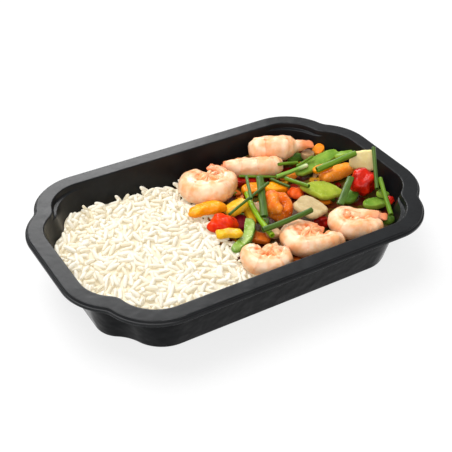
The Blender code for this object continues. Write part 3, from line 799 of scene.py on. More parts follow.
# Scraps that lie in the sauce are darker than the pieces on top: partly the sauce on them, partly
# painted shade for the gaps between those pieces
SAUCED_SHADED_YELLOW = CookedVegetable(
    "sauced_shaded_yellow_pepper", "#c48a0c", "#885606", "#a46c08", "#e4bc60", 6.0, 1.8, 0.15, 0.32, 0.2
)
SAUCED_SHADED_ONION = CookedVegetable(
    "sauced_shaded_onion", "#96744e", "#66462a", "#7a5a38", "#bea080", 5.0, 1.5, 0.2, 0.34, 0.2, 0.15
)
SAUCED_SHADED_RED = CookedVegetable(
    "sauced_shaded_red_pepper", "#8e100a", "#500604", "#6c1008", "#c04830", 5.0, 1.5, 0.15, 0.3, 0.25
)
FLOOR = BacklitOpalBoard()


class Cut(Enum):
    """How a flat piece was cut, which sets how uneven its faces are."""

    SLICE = 0.5
    SHRED = 0.3
    RAGGED = 1.0


# Tray


@dataclass
class MouldedTray:
    """The tray: a lobed outline drawn in level by level, with a flat rim and a rolled lip."""

    long_half: tuple[float, float] = (110.0, 50.8)
    wide_half: tuple[float, float] = (97.7, 69.6)
    long_corner: float = 30.1
    wide_corner: float = 30.8
    notch_fillet: float = 9.8
    notch_fillet_base: float = 22.6
    rim_height: float = 35.3
    wall: float = 1.0
    rim_inset: float = 8.5
    lip_out: float = 1.5
    lip_depth: float = 2.9
    lip_wall: float = 0.8
    base_inset: float = 15.8
    foot: float = 2.8
    ledge_depth: float = 3.4
    ledge_corner: float = 5.5
    corner_steps: int = 22
    notch_steps: int = 12
    edge_round: float = 0.28
    outside_levels: int = 8

    def loop(self, inset: float, z: float, flatter: float = 0.0) -> np.ndarray:
        """One level of the tray.

        Args:
            inset: How far the outline is drawn in.
            z: Height of the level.
            flatter: How much larger the radius of the wide corners is.

        Returns:
            Points round the level.
        """
        share = min(max((inset - self.rim_inset) / (self.base_inset - self.rim_inset), 0.0), 1.0)
        fillet = self.notch_fillet + share * (self.notch_fillet_base - self.notch_fillet)
        long_corner = self.long_corner - inset
        wide_corner = self.wide_corner - inset + flatter
        first = Vector((self.long_half[0] - self.long_corner, self.long_half[1] - self.long_corner))
        second = Vector(
            (self.wide_half[0] - inset - wide_corner, self.wide_half[1] - inset - wide_corner)
        )
        hollow = self.notch_centre(first, second, long_corner + fillet, wide_corner + fillet)
        start = math.atan2(hollow.y - first.y, hollow.x - first.x)
        leave = math.atan2(hollow.y - second.y, hollow.x - second.x)
        arcs = (
            (first, long_corner, 0.0, start, self.corner_steps, 0),
            (hollow, fillet, start - math.pi, leave - math.pi, self.notch_steps, 1),
            (second, wide_corner, leave, math.pi / 2, self.corner_steps, 0),
        )
        quarter: list[tuple[float, float]] = []
        for middle, radius, begin, end, steps, skip in arcs:
            for step in range(skip, steps + 1 - skip):
                angle = begin + (end - begin) * step / steps
                quarter.append(
                    (middle.x + radius * math.cos(angle), middle.y + radius * math.sin(angle))
                )
        half = quarter + [(-x, y) for x, y in reversed(quarter)]
        whole = half + [(-x, -y) for x, y in half]
        return np.array([(x, y, z) for x, y in whole])

    @staticmethod
    def notch_centre(
        first: Vector, second: Vector, first_reach: float, second_reach: float
    ) -> Vector:
        """Centre of the hollow arc that touches the arcs of both rectangles."""
        across = second - first
        apart = across.length
        along = (first_reach**2 - second_reach**2 + apart**2) / (2 * apart)
        off = math.sqrt(first_reach**2 - along**2)
        out = Vector((across.y, -across.x)) / apart
        if out.x < 0:
            out = -out
        return first + across / apart * along + out * off

    def outer_inset(self, z: float) -> float:
        """Inset of the wall's outer face at a height."""
        top = self.rim_inset - self.wall
        return top + (self.base_inset - top) * (1.0 - z / self.rim_height)

    def levels(self) -> list[np.ndarray]:
        """All levels: up the outside, over the lip and the rim, and down the inside."""
        top, wall, foot, flat = self.rim_height, self.wall, self.foot, self.ledge_corner
        ledge = top - self.ledge_depth
        under = top - wall
        lip = self.lip_wall - self.lip_out
        return [
            self.loop(self.base_inset + foot, 0.0, flat),
            self.loop(self.outer_inset(foot * 0.12) + 1.1, foot * 0.12, flat),
            self.loop(self.outer_inset(foot * 0.4) + 0.25, foot * 0.4, flat),
            self.loop(self.outer_inset(foot), foot, flat),
            self.loop(self.outer_inset(ledge - wall), ledge - wall, flat),
            self.loop(self.outer_inset(ledge - wall + 0.5), ledge - wall + 0.5),
            self.loop(self.rim_inset - wall - 0.2, under - 0.5),
            self.loop(self.rim_inset - wall - 0.9, under),
            self.loop(0.3, under),
            self.loop(0.3, top - self.lip_depth + 1.0),
            self.loop(lip, top - self.lip_depth + 0.7),
            self.loop(lip, top - self.lip_depth),
            self.loop(-self.lip_out, top - self.lip_depth),
            self.loop(0.1 - self.lip_out, top - 1.5),
            self.loop(-0.5, top - 1.3),
            self.loop(-0.4, top - 0.5),
            self.loop(-0.22, top - 0.18),
            self.loop(0.1, top),
            self.loop(0.6, top),
            self.loop(self.rim_inset - 0.9, top),
            self.loop(self.rim_inset - 0.4, top),
            self.loop(self.rim_inset + 0.0, top - 0.2),
            self.loop(self.rim_inset + 0.2, top - 0.6),
            self.loop(self.outer_inset(ledge + 0.3) + wall, ledge + 0.3),
            self.loop(self.outer_inset(ledge) + wall, ledge, flat),
            self.loop(self.outer_inset(foot + wall) + wall, foot + wall, flat),
            self.loop(self.outer_inset(wall + foot * 0.3) + wall + 0.5, wall + foot * 0.3, flat),
            self.loop(self.base_inset + wall + foot, wall, flat),
        ]

    def build(self) -> bpy.types.Object:
        """The tray's object, its mould edges rounded."""
        levels = self.levels()
        skin = Skin(
            np.vstack(levels), ring_faces(len(levels), len(levels[0]), tips=False)
        ).outward()
        tray = skin.to_object("tray_shell", TRAY_PLASTIC, crease=40.0)
        # The outer walls get the darker, duller copy of the plastic: painted shade
        tray.data.materials.append(TRAY_OUTSIDE_SHADED.material())
        outside = self.outside_levels * len(levels[0])
        for face in tray.data.polygons:
            face.material_index = int(face.index < outside)
        edge = tray.modifiers.new("mould_edges", "BEVEL")
        edge.width = self.edge_round * MM
        edge.segments = 2
        edge.limit_method = "ANGLE"
        edge.angle_limit = math.radians(28)
        # Broad faces keep their own direction, so that the rim and the walls look flat
        tray.modifiers.new("even_normals", "WEIGHTED_NORMAL").keep_sharp = True
        return tray

    def wall_at(self, z: float, gap: float) -> np.ndarray:
        """The inner wall's outline at a height, drawn in by a gap, in plan."""
        flat = self.ledge_corner if z < self.rim_height - self.ledge_depth else 0.0
        return self.loop(self.outer_inset(z) + self.wall + gap, z, flat)[:, :2]


def within(outline: np.ndarray, spots: np.ndarray) -> np.ndarray:
    """Which spots in plan lie inside a closed outline."""
    x, y = spots[:, 0, None], spots[:, 1, None]
    start, end = outline, np.roll(outline, -1, axis=0)
    crosses = (start[:, 1] > y) != (end[:, 1] > y)
    rise = end[:, 1] - start[:, 1]
    reach = start[:, 0] + (y - start[:, 1]) * (
        end[:, 0] - start[:, 0]
    ) / np.where(rise == 0, 1e-9, rise)
    return (crosses & (x < reach)).sum(axis=1) % 2 == 1


def surfaces(names: list[str]) -> list[BVHTree]:
    """Surfaces of some of the plain nodes, in millimetres, for finding room beside them."""
    trees = []
    for name in names:
        mesh = bpy.data.objects[name].data
        points = [vertex.co / MM for vertex in mesh.vertices]
        trees.append(BVHTree.FromPolygons(points, [tuple(face.vertices) for face in mesh.polygons]))
    return trees


# Heap


@dataclass
class Heap:
    """What the rice and the bed of vegetables share: their border and how their blocks are cut."""

    tray: MouldedTray
    border_x: float = -12.5
    border_sway: float = 3.0
    border_wave: float = 9.0
    border_back: float = 13.0
    base: float = -1.0

    def border(self, y: float) -> float:
        """Where rice and vegetables meet, along the depth of the tray."""
        share = y / self.tray.wide_half[1]
        sway = self.border_sway * math.sin(y / self.border_wave)
        return self.border_x + sway + self.border_back * max(share, 0.0) ** 2

    def block(self, rice: bool, height: Callable[[float, float], float], step: float) -> Skin:
        """A closed block on one side of the border.

        Args:
            rice: Whether it is the rice's side or the vegetables'.
            height: Top at each place in plan.
            step: Size of its cells.

        Returns:
            The block, before the tray's walls trim it.
        """
        half, far = self.tray.wide_half[1], self.tray.long_half[0]
        rows = round(2 * half / step)
        share = -1.0 if rice else 1.0
        columns = round((far + share * abs(self.border_x)) / step)
        stride = columns + 1
        points: list[tuple[float, float, float]] = []
        for row in range(rows + 1):
            y = half * (2 * row / rows - 1)
            left, right = (-far, self.border(y) - GAP) if rice else (self.border(y) + GAP, far)
            for column in range(stride):
                x = left + (right - left) * column / columns
                points.append((x, y, height(x, y)))
        faces: list[Face] = []
        for row in range(rows):
            for column in range(columns):
                corner = row * stride + column
                faces.append((corner, corner + 1, corner + stride + 1, corner + stride))
        edge = list(range(columns))
        edge += [row * stride + columns for row in range(rows)]
        edge += [rows * stride + column for column in range(columns, 0, -1)]
        edge += [row * stride for row in range(rows, 0, -1)]
        under = len(points)
        points += [(points[index][0], points[index][1], self.base) for index in edge]
        for place, index in enumerate(edge):
            after = (place + 1) % len(edge)
            faces.append((edge[after], index, under + place, under + after))
        faces.append(tuple(range(len(points) - 1, under - 1, -1)))
        return Skin(np.array(points), faces)

    def trimmed(
        self, name: str, block: Skin, finish: Finish, wall_gap: float = 0.5
    ) -> bpy.types.Object:
        """A block cut to the room inside the tray.

        Args:
            name: The object's name.
            block: The block.
            finish: Its finish.
            wall_gap: Gap to the walls.

        Returns:
            The object, with its cut applied.
        """
        tray = self.tray
        gap = tray.wall + wall_gap
        high = tray.rim_height - tray.ledge_depth - 1.0
        levels = [
            tray.loop(tray.base_inset + gap + tray.foot, tray.wall + GAP, tray.ledge_corner),
            tray.loop(tray.outer_inset(tray.foot + gap) + gap, tray.foot + gap, tray.ledge_corner),
            tray.loop(tray.outer_inset(high) + gap, high, tray.ledge_corner),
        ]
        room = Skin(
            np.vstack(levels), ring_faces(3, len(levels[0]), tips=False)
        ).outward().to_object("room", finish)
        heap = block.outward().to_object(name, finish)
        cut = heap.modifiers.new("room", "BOOLEAN")
        cut.operation = "INTERSECT"
        cut.solver = "MANIFOLD"
        cut.object = room
        graph = bpy.context.evaluated_depsgraph_get()
        heap.data = bpy.data.meshes.new_from_object(heap.evaluated_get(graph))
        heap.modifiers.clear()
        bpy.data.objects.remove(room, do_unlink=True)
        return heap


@dataclass
class VegetableBed:
    """The sauce and scraps that show in the gaps between the pieces."""

    heap: Heap
    level: float = 17.3
    step: float = 2.0

    def height(self, x: float, y: float) -> float:
        """Top of the bed."""
        back = 6.5 * hump(x, y, (62.0, 53.0), (22.0, 8.0))
        front = 2.5 * hump(x, y, (28.0, -42.0), (16.0, 12.0))
        right = 3.0 * hump(x, y, (92.0, 0.0), (14.0, 25.0))
        humps = 1.2 * bumps(x, y, 14.0, 3.0) + 1.4 * bumps(x, y, 7.0, 4.0)
        crumbs = 0.35 * bumps(x, y, 2.6, 5.0)
        return self.level + back + front + right + humps + crumbs

    def build(self) -> bpy.types.Object:
        """The bed's object."""
        return self.heap.trimmed(
            "vegetable_bed", self.heap.block(False, self.height, self.step), SAUCE_AND_SHADE
        )


@dataclass
class LaidTop:
    """How high the grains that lie so far reach, in small square cells over the rice."""

    goal: np.ndarray
    level: np.ndarray
    corner: tuple[float, float]
    cell: float

    def cells(self, spots: np.ndarray) -> tuple[np.ndarray, np.ndarray]:
        """Column and row of each spot in plan."""
        found = ((spots + self.corner) / self.cell).astype(int)
        columns, rows = self.level.shape
        return found[:, 0].clip(0, columns - 1), found[:, 1].clip(0, rows - 1)

    def emptiest(self, spots: np.ndarray) -> tuple[int, float]:
        """Which spot lacks most to its goal, and that goal."""
        cells = self.cells(spots)
        best = int((self.goal[cells] - self.level[cells]).argmax())
        return best, self.goal[cells][best]

    def under(self, line: np.ndarray, side: np.ndarray) -> np.ndarray:
        """The highest cell below each point of a grain's middle and of its two flanks."""
        flanks = [self.level[self.cells(line + side * shift)] for shift in (-1.0, 0.0, 1.0)]
        return np.max(flanks, axis=0)

    def lay(self, line: np.ndarray, side: np.ndarray, middle: np.ndarray, body: np.ndarray) -> None:
        """Raise the cells under a grain to its top.

        Args:
            line: Points along the grain's middle in plan.
            side: Way from its middle to its flank in plan.
            middle: Height of its middle at each point.
            body: Half its thickness at each point.
        """
        for shift in (-1.0, -0.5, 0.0, 0.5, 1.0):
            lift = middle + body * math.sqrt(1.0 - 0.6 * shift**2)
            np.maximum.at(self.level, self.cells(line + side * shift), lift)


@dataclass
class RiceMound:
    """The rice: a soft core and over it loose grains, dropped one by one onto what lies there."""

    heap: Heap
    neighbours: list[str]
    length: tuple[float, float] = (6.0, 8.8)
    width: tuple[float, float] = (2.2, 2.8)
    count: int = 1300
    sunk: float = 2.8
    rise: float = 0.9
    cell: float = 0.4
    sides: int = 8
    rings: int = 9
    kinds: int = 12
    seed: int = 11
    back_edge: float = 34.0
    left_edge: float = 16.0
    past_border: float = 6.0
    high_rice: float = 20.5
    flat_lean: float = 0.45
    flat_spread: float = 0.16
    upright_share: float = 0.22
    upright_lean: float = 1.05
    upright_spread: float = 0.9
    upright_rise: float = 1.6
    tries_each: int = 14
    spots_each: int = 10
    settle: float = 0.6
    wall_levels: tuple[float, float] = (17.0, 21.5)
    wall_gap: float = 1.0
    near_pieces_x: float = -32.0
    core_step: float = 3.0

    def height(self, x: float, y: float) -> float:
        """Mean top of the rice: a low mound that falls away to the walls."""
        mound = 24.5 - 3.0 * ((x + 52.0) / 45.0) ** 2 - 5.5 * max((y - 5.0) / 50.0, 0.0) ** 2
        mound -= 1.5 * max((-y - 15.0) / 40.0, 0.0) ** 2
        hollow = 2.5 * hump(x, y, (-50.0, 19.0), (5.0, 4.0))
        corner = 3.5 * hump(x, y, (-80.0, 52.0), (13.0, 11.0))
        return mound + corner - hollow + 2.2 * bumps(x, y, 16.0, 1.0) + 1.3 * bumps(x, y, 4.5, 2.0)

    def core(self) -> bpy.types.Object:
        """The core under the loose grains, a few millimetres lower than their top."""

        def top(x: float, y: float) -> float:
            beside = min(max((x - self.heap.border(y) + 14.0) / 12.0, 0.0), 1.0)
            return self.height(x, y) - self.sunk + 2.0 - 1.7 * beside

        block = self.heap.block(True, top, self.core_step)
        core = self.heap.trimmed("rice_core", block, RICE)
        # The core shows only in the gaps between grains, and its tone of 0 (the warm colour) is
        # painted warm shade for those gaps
        tone = core.data.attributes.new("tone", "FLOAT", "POINT")
        tone.data.foreach_set("value", np.zeros(len(core.data.vertices), np.float32))
        return core

    def grain(self, chance: random.Random) -> Skin:
        """One boiled grain along X, 2 long and 2 wide: a slightly bent spindle with blunt ends."""
        bow = chance.uniform(-0.10, 0.10)
        blunt = chance.uniform(0.28, 0.42)
        flat = chance.uniform(0.82, 0.98)
        share = np.cos(np.linspace(math.pi * 0.94, math.pi * 0.06, self.rings))
        girth = (1.0 - np.abs(share) ** 2.6) ** blunt
        turn = math.tau * np.arange(self.sides) / self.sides
        rings = []
        for place, radius in zip(share, girth):
            side = radius * np.cos(turn) + bow * 4.0 * (1.0 - place**2)
            rings.append(
                np.stack([np.full(self.sides, place), side, radius * flat * np.sin(turn)], axis=1)
            )
        points = np.vstack([*rings, [(-1.0, 0.0, 0.0), (1.0, 0.0, 0.0)]])
        return Skin(points, ring_faces(self.rings, self.sides, tips=True)).outward()

    def clear_of(self, trees: list[BVHTree], axis: np.ndarray, radius: float) -> bool:
        """Whether points along a grain's middle keep its radius from the pieces beside the rice."""
        for tree in trees:
            for point in axis:
                near, normal, _, gap = tree.find_nearest(Vector(point), 6.0)
                if near is None:
                    continue
                if gap < radius + 0.1 or (Vector(point) - near).dot(normal) < 0:
                    return False
        return True

    def laid_top(self) -> LaidTop:
        """The level that the first grains fall on, and the height that the last ones reach."""
        far, half = self.heap.tray.long_half[0], self.heap.tray.wide_half[1]
        columns, rows = int(far / self.cell) + 20, int(2 * half / self.cell)
        along = [-far + column * self.cell for column in range(columns)]
        across = [-half + row * self.cell for row in range(rows)]
        goal = np.array([[self.height(x, y) for y in across] for x in along])
        return LaidTop(goal, goal - self.sunk, (far, half), self.cell)

    def lean(self, chance: random.Random, upright: bool, slope: float) -> float:
        """How steeply a grain lies: along the slope below it, or nearly on end at the walls."""
        limit = self.upright_lean if upright else self.flat_lean
        spread = self.upright_spread if upright else self.flat_spread
        return max(-limit, min(limit, math.atan(slope) + chance.gauss(0.0, spread)))

    def drop(
        self, chance: random.Random, laid: LaidTop, kinds: list[Skin], walls: list[np.ndarray],
        trees: list[BVHTree],
    ) -> Skin | None:
        """Drop one grain where the heap lacks most.

        Args:
            chance: Source of the random draws.
            laid: What lies there so far, which the grain is added to.
            kinds: Grains to choose from.
            walls: Outlines of the room for grains low and high in the tray.
            trees: Surfaces of the pieces beside the rice.

        Returns:
            The grain in its place, or nothing where it found no room.
        """
        far, half = laid.corner
        spots = np.array(
            [
                (chance.uniform(-far, 2.0), chance.uniform(-half, half))
                for _ in range(self.spots_each)
            ]
        )
        best, aim = laid.emptiest(spots)
        x, y = spots[best]
        if x > self.heap.border(y) + self.past_border:
            return None
        length = chance.uniform(*self.length)
        radius = chance.uniform(*self.width) / 2
        heading = chance.uniform(0.0, math.pi)
        way = np.array([math.cos(heading), math.sin(heading)])
        reach = np.linspace(-1.0, 1.0, 9)
        line = (x, y) + way * reach[:, None] * length / 2
        if not within(walls[int(aim > self.high_rice)], line[[0, 4, 8]]).all():
            return None
        side = np.array([-way[1], way[0]]) * radius * 0.6
        under = laid.under(line, side)
        edge = y > self.back_edge or x < -far + self.left_edge
        upright = edge and chance.random() < self.upright_share
        slope = (under[5:].max() - under[:4].max()) / (0.6 * length)
        lean = self.lean(chance, upright, slope)
        body = radius * np.sqrt(np.clip(1.0 - reach**2, 0.05, 1.0))
        tilt = reach * math.sin(lean) * length / 2
        height = float((under + body - tilt).max()) - self.settle
        if height > aim + self.rise + (self.upright_rise if upright else 0.0):
            return None
        axis = np.stack([line[:, 0], line[:, 1], height + tilt], axis=1)
        if x > self.near_pieces_x and not self.clear_of(trees, axis[::2], radius):
            return None
        rolled = Matrix.Rotation(chance.uniform(0.0, math.tau), 3, "X")
        turn = Matrix.Rotation(heading, 3, "Z") @ Matrix.Rotation(-lean, 3, "Y") @ rolled
        kind = chance.choice(kinds)
        points = kind.points * (length / 2, radius, radius) @ np.array(turn).T + (x, y, height)
        middle = (x, y) + way * reach[:, None] * length / 2 * math.cos(lean)
        tone = np.full(len(points), chance.random())
        laid.lay(middle, side, height + tilt, body)
        return Skin(points, kind.faces, {"tone": tone})

    def build(self) -> bpy.types.Object:
        """All loose grains as one object."""
        chance = random.Random(self.seed)
        kinds = [self.grain(chance) for _ in range(self.kinds)]
        trees = surfaces(self.neighbours)
        walls = [self.heap.tray.wall_at(level, self.wall_gap) for level in self.wall_levels]
        laid = self.laid_top()
        placed: list[Skin] = []
        for _ in range(self.count * self.tries_each):
            grain = self.drop(chance, laid, kinds, walls, trees)
            if grain is not None:
                placed.append(grain)
            if len(placed) == self.count:
                break
        LOG.info("rice: %d grains", len(placed))
        return joined(placed).to_object("rice_grains", RICE, crease=180.0)


# Pieces of food


@dataclass
class Piece(ABC):
    """One piece of food: the node that it stands for, its place, its finish and its slot."""

    node: str
    place: Place
    finish: Finish
    slot: str

    @abstractmethod
    def skin(self) -> Skin:
        """The piece about its own middle."""

    def build(self) -> bpy.types.Object:
        """The piece in its place."""
        return self.skin().outward().placed(self.place).to_object(self.label(), self.finish)

    def label(self) -> str:
        """The object's name."""
        return self.node + "_piece"


@dataclass
class PeeledShrimp(Piece):
    """A shrimp curled in plan, from its cut front over its body to its tail fan."""

    length: float = 40.0
    thick: float = 12.5
    turn: float = 180.0
    tail: float = 5.0
    bend: float = 1.0
    shift: float = 0.0
    body: float = 0.82
    slim: float = 0.48
    belly: float = 0.0
    rise: float = 0.0
    inner_reach: float = 0.9
    legs: float = 0.16
    segments: float = 4.5
    steps: int = 110
    sides: int = 48

    def overlap(self, share: np.ndarray) -> np.ndarray:
        """Where each segment's edge stands over the next, from 0 just past an edge to 1 at it."""
        return (share * self.segments + 0.35) % 1.0

    @staticmethod
    def fold_at(share: np.ndarray) -> np.ndarray:
        """Where the fold along the flank runs, which wanders a little along the body."""
        return 0.42 + 0.10 * np.sin(share * 17.0)

    def inward(self, angle: np.ndarray) -> np.ndarray:
        """How far an angle round the body faces the inside of its curl, from -1 to 1."""
        return math.copysign(1.0, self.turn) * np.cos(angle)

    def relief(self, share: np.ndarray, angle: np.ndarray) -> np.ndarray:
        """Overlapping segments on the back, a groove beside the belly and the stubs of legs."""
        inner = self.inward(angle)
        back = np.clip(0.6 - inner, 0.0, 1.0)
        saw = self.overlap(share + 0.015 * np.sin(angle * 2))
        step = 0.038 * saw**2 - 0.015
        groove = -0.12 * np.exp(-(((inner - self.fold_at(share)) / 0.14) ** 2))
        groove = groove - 0.045 * np.exp(-(((inner - self.fold_at(share) + 0.55) / 0.12) ** 2))
        legs = self.legs * np.clip(inner, 0.0, 1.0) * np.cos(math.tau * share * self.segments * 2.2)
        body = np.clip((self.body + 0.06 - share) / 0.04, 0.0, 1.0)
        return (step * back + groove + legs) * body

    def skin(self) -> Skin:
        """The tube of flesh with its fan, painted with the depth of its creases."""
        path = arc_path(self.length, self.turn, self.steps, self.bend, self.shift)
        share = np.linspace(0.0, 1.0, self.steps)
        path[:, 2] += self.rise * (share - 0.5)
        known = (0.0, 0.07, 0.25, self.body - 0.15, self.body, self.body + 0.08, 1.0)
        girth = (0.66, 0.92, 1.0, 0.96, 0.80, self.slim, self.slim * 0.85)
        half = np.interp(share, known, girth) * self.thick / 2
        way = path[-1] - path[-2]
        way /= np.linalg.norm(way)
        fan = np.linspace(0.12, 1.0, 9)
        path = np.vstack([path, [path[-1] + way * self.tail * step for step in fan]])
        wide = np.concatenate(
            [half, self.thick * np.interp(fan, (0.12, 0.4, 0.75, 1.0), (0.20, 0.20, 0.27, 0.22))]
        )
        high = np.concatenate(
            [half, self.thick * np.interp(fan, (0.12, 0.4, 0.75, 1.0), (0.19, 0.14, 0.10, 0.05))]
        )
        keel = self.belly * np.sqrt(np.clip(np.sin(share * math.pi), 0.0, 1.0))
        # In its bend the inner side stops short of the middle of the curl
        curl = self.length * self.bend / math.radians(abs(self.turn))
        tight = np.clip(self.inner_reach * curl / half - 1.0, 0.0, None)
        bent = np.abs(2.0 * share - 1.0 - self.shift) < self.bend
        keel = math.copysign(1.0, self.turn) * np.where(bent, np.minimum(keel, tight), keel)
        skin = sweep(
            path, wide, high, np.concatenate([keel, np.zeros(len(fan))]), self.sides, self.relief
        )
        along, around, above = (skin.paint[label] for label in ("along", "around", "above"))
        inner = math.copysign(1.0, self.turn) * around
        saw = self.overlap(along + 0.015 * 2 * around * above)
        edge = np.exp(-(((1.0 - saw) / 0.10) ** 2)) + 0.7 * np.exp(-((saw / 0.16) ** 2))
        groove = np.exp(-(((inner - self.fold_at(along)) / 0.16) ** 2))
        groove = groove + 0.6 * np.exp(-(((inner - self.fold_at(along) + 0.55) / 0.12) ** 2))
        belly = np.clip(inner - 0.4, 0.0, 1.0)
        skin.paint["crease"] = np.clip(
            edge * 0.6 + groove * 0.8 + belly, 0.0, 1.4
        ) * (along < self.body + 0.1)
        return roughened(skin, 0.5, 5.0, self.place.x)


@dataclass
class CurledLegs(Piece):
    """The crinkled legs that fill the middle of a curl."""

    length: float = 12.0
    width: float = 9.0
    height: float = 8.0
    folds: int = 7
    sides: int = 72
    rings: int = 30

    def label(self) -> str:
        """The object's name, beside the body's."""
        return self.node + "_legs"

    def skin(self) -> Skin:
        """A ball in radial folds, painted with their depth."""
        rise = np.linspace(0.0, math.pi, self.rings + 2)[1:-1]
        turn = math.tau * np.arange(self.sides) / self.sides
        angle, level = np.meshgrid(turn, rise)
        sway = np.array(
            [
                bumps(a * 3.0, b * 3.0, 2.0, self.place.x)
                for a, b in zip(angle.ravel(), level.ravel())
            ]
        )
        fold = np.cos(self.folds * angle.ravel() + 2.5 * sway + 1.5 * level.ravel())
        swell = 1.0 + 0.14 * fold
        ball = np.stack(
            [np.sin(level) * np.cos(angle), np.sin(level) * np.sin(angle), -np.cos(level)], axis=-1
        ).reshape(-1, 3)
        points = np.vstack([ball * swell[:, None], [(0.0, 0.0, -1.0), (0.0, 0.0, 1.0)]])
        points = points * (self.length / 2, self.width / 2, self.height / 2)
        crease = np.concatenate([np.clip(-fold, 0.0, 1.0), [0.0, 0.5]])
        paint = {"along": np.full(len(points), 0.5), "crease": crease}
        return roughened(
            Skin(points, ring_faces(self.rings, self.sides, tips=True), paint), 0.5, 3.0,
            self.place.y,
        )


@dataclass
class FlatPiece(Piece):
    """A flat piece with rounded edges: a slice of pepper, a pod or a slab of root."""

    length: float = 14.0
    width: float = 8.0
    thick: float = 3.0
    turn: float = 0.0
    square: float = 3.0
    taper: float = 0.0
    puff: float = 0.0
    sag: float = 0.0
    cut: Cut = Cut.SLICE
    steps: int = 41
    edge: float = 0.82
    ragged: float = 0.05

    def outline(self) -> np.ndarray:
        """The outline in plan, bent along an arc."""
        path = arc_path(self.length, self.turn, self.steps)
        way = np.gradient(path, axis=0)
        way /= np.linalg.norm(way, axis=1)[:, None]
        # Steps crowd at the ends, where the outline turns fast
        share = np.sin(np.linspace(-math.pi / 2, math.pi / 2, self.steps))
        known = np.linspace(-1.0, 1.0, self.steps)
        path = np.stack([np.interp(share, known, path[:, axis]) for axis in (0, 1)], axis=1)
        way = np.stack([np.interp(share, known, way[:, axis]) for axis in (0, 1)], axis=1)
        half = self.width / 2 * (
            1.0 - np.abs(share) ** self.square
        ) ** (1.0 / self.square) * (1.0 + self.taper * share)
        side = np.stack([-way[:, 1], way[:, 0]], axis=1)
        outline = np.vstack([path - side * half[:, None], (path + side * half[:, None])[-2:0:-1]])
        seed = self.place.x * 0.7 + self.place.y
        nicks = [
            bumps(x, y, 2.6, seed) + 0.7 * bumps(x, y, 5.2, seed + 9.0) for x, y in outline.tolist()
        ]
        return outline * (1.0 + self.ragged * np.array(nicks))[:, None]

    def skin(self) -> Skin:
        """Rings from the middle of the underside, round the edge, to the middle of the top."""
        outline = self.outline()
        middle = (outline.min(axis=0) + outline.max(axis=0)) / 2
        reach = (outline.max(axis=0) - outline.min(axis=0)) / 2
        crown = [
            (share * self.edge, 0.5 + self.puff * (1.0 - share**2))
            for share in (0.14, 0.32, 0.5, 0.7, 0.85)
        ]
        bend = [
            (self.edge + (1.0 - self.edge) * math.sin(a), 0.5 * math.cos(a))
            for a in np.linspace(0.0, math.pi / 2, 6)
        ]
        upper = crown + bend
        lower = [(share, -level) for share, level in upper[:-1]]
        profile = lower + upper[::-1]
        rings = [
            np.column_stack(
                [middle + (outline - middle) * share, np.full(len(outline), level * self.thick)]
            )
            for share, level in profile
        ]
        top = self.thick * (0.5 + self.puff)
        points = np.vstack([*rings, [(*middle, -top), (*middle, top)]])
        points[:, 2] -= self.sag * ((points[:, 1] - middle[1]) / reach[1]) ** 2
        edge = np.concatenate([np.full(len(outline), share) for share, _ in profile] + [[0.0, 0.0]])
        skin = Skin(points, ring_faces(len(profile), len(outline), tips=True), {"edge": edge})
        seed = self.place.x + self.place.y
        return roughened(
            roughened(skin, self.cut.value, 6.0, seed), self.cut.value * 0.35, 2.2, seed + 50.0
        )


@dataclass
class Chunk(Piece):
    """An uneven rounded chunk."""

    length: float = 15.0
    width: float = 12.0
    height: float = 9.0
    knobs: float = 0.3
    seed: float = 1.0
    sides: int = 48
    rings: int = 30
    pitted: float = 0.3
    hollow: tuple[float, float, float] | None = None
    hollow_depth: float = 0.35
    hollow_size: float = 0.30
    hollow_width: float = 0.20

    def skin(self) -> Skin:
        """A ball pushed in and out by a slow noise, then by a fine one."""
        rise = np.linspace(0.0, math.pi, self.rings + 2)[1:-1]
        turn = math.tau * np.arange(self.sides) / self.sides
        rings = [
            np.stack(
                [
                    math.sin(a) * np.cos(turn), math.sin(a) * np.sin(turn),
                    np.full(self.sides, -math.cos(a)),
                ],
                axis=1,
            )
            for a in rise
        ]
        ball = np.vstack([*rings, [(0.0, 0.0, -1.0), (0.0, 0.0, 1.0)]])
        swell = np.array(
            [
                noise.noise(Vector(point) * 1.3 + Vector((self.seed, 0.0, 0.0)))
                for point in ball.tolist()
            ]
        )
        swell = 1.0 + self.knobs * swell
        edge = np.zeros(len(ball))
        if self.hollow is not None:
            side = np.array(Vector(self.hollow).normalized()) @ self.place.matrix()
            cross = np.cross(side, (0.0, 0.0, 1.0))
            across = ball @ (cross / np.linalg.norm(cross)) + 0.12 * np.sin(ball[:, 2] * 6.0)
            dent = np.exp(
                -(((1.0 - ball @ side) / self.hollow_size) ** 2) - (across / self.hollow_width) ** 2
            )
            swell -= self.hollow_depth * dent
            # The hollow takes the finish's edge colour: on the carrot a dark red, painted shade in
            # the hollow
            edge = np.clip(dent * 1.2, 0.0, 1.0)
        points = ball * swell[:, None] * (self.length / 2, self.width / 2, self.height / 2)
        skin = Skin(points, ring_faces(self.rings, self.sides, tips=True), {"edge": edge})
        return roughened(skin, self.pitted, 2.6, self.seed)


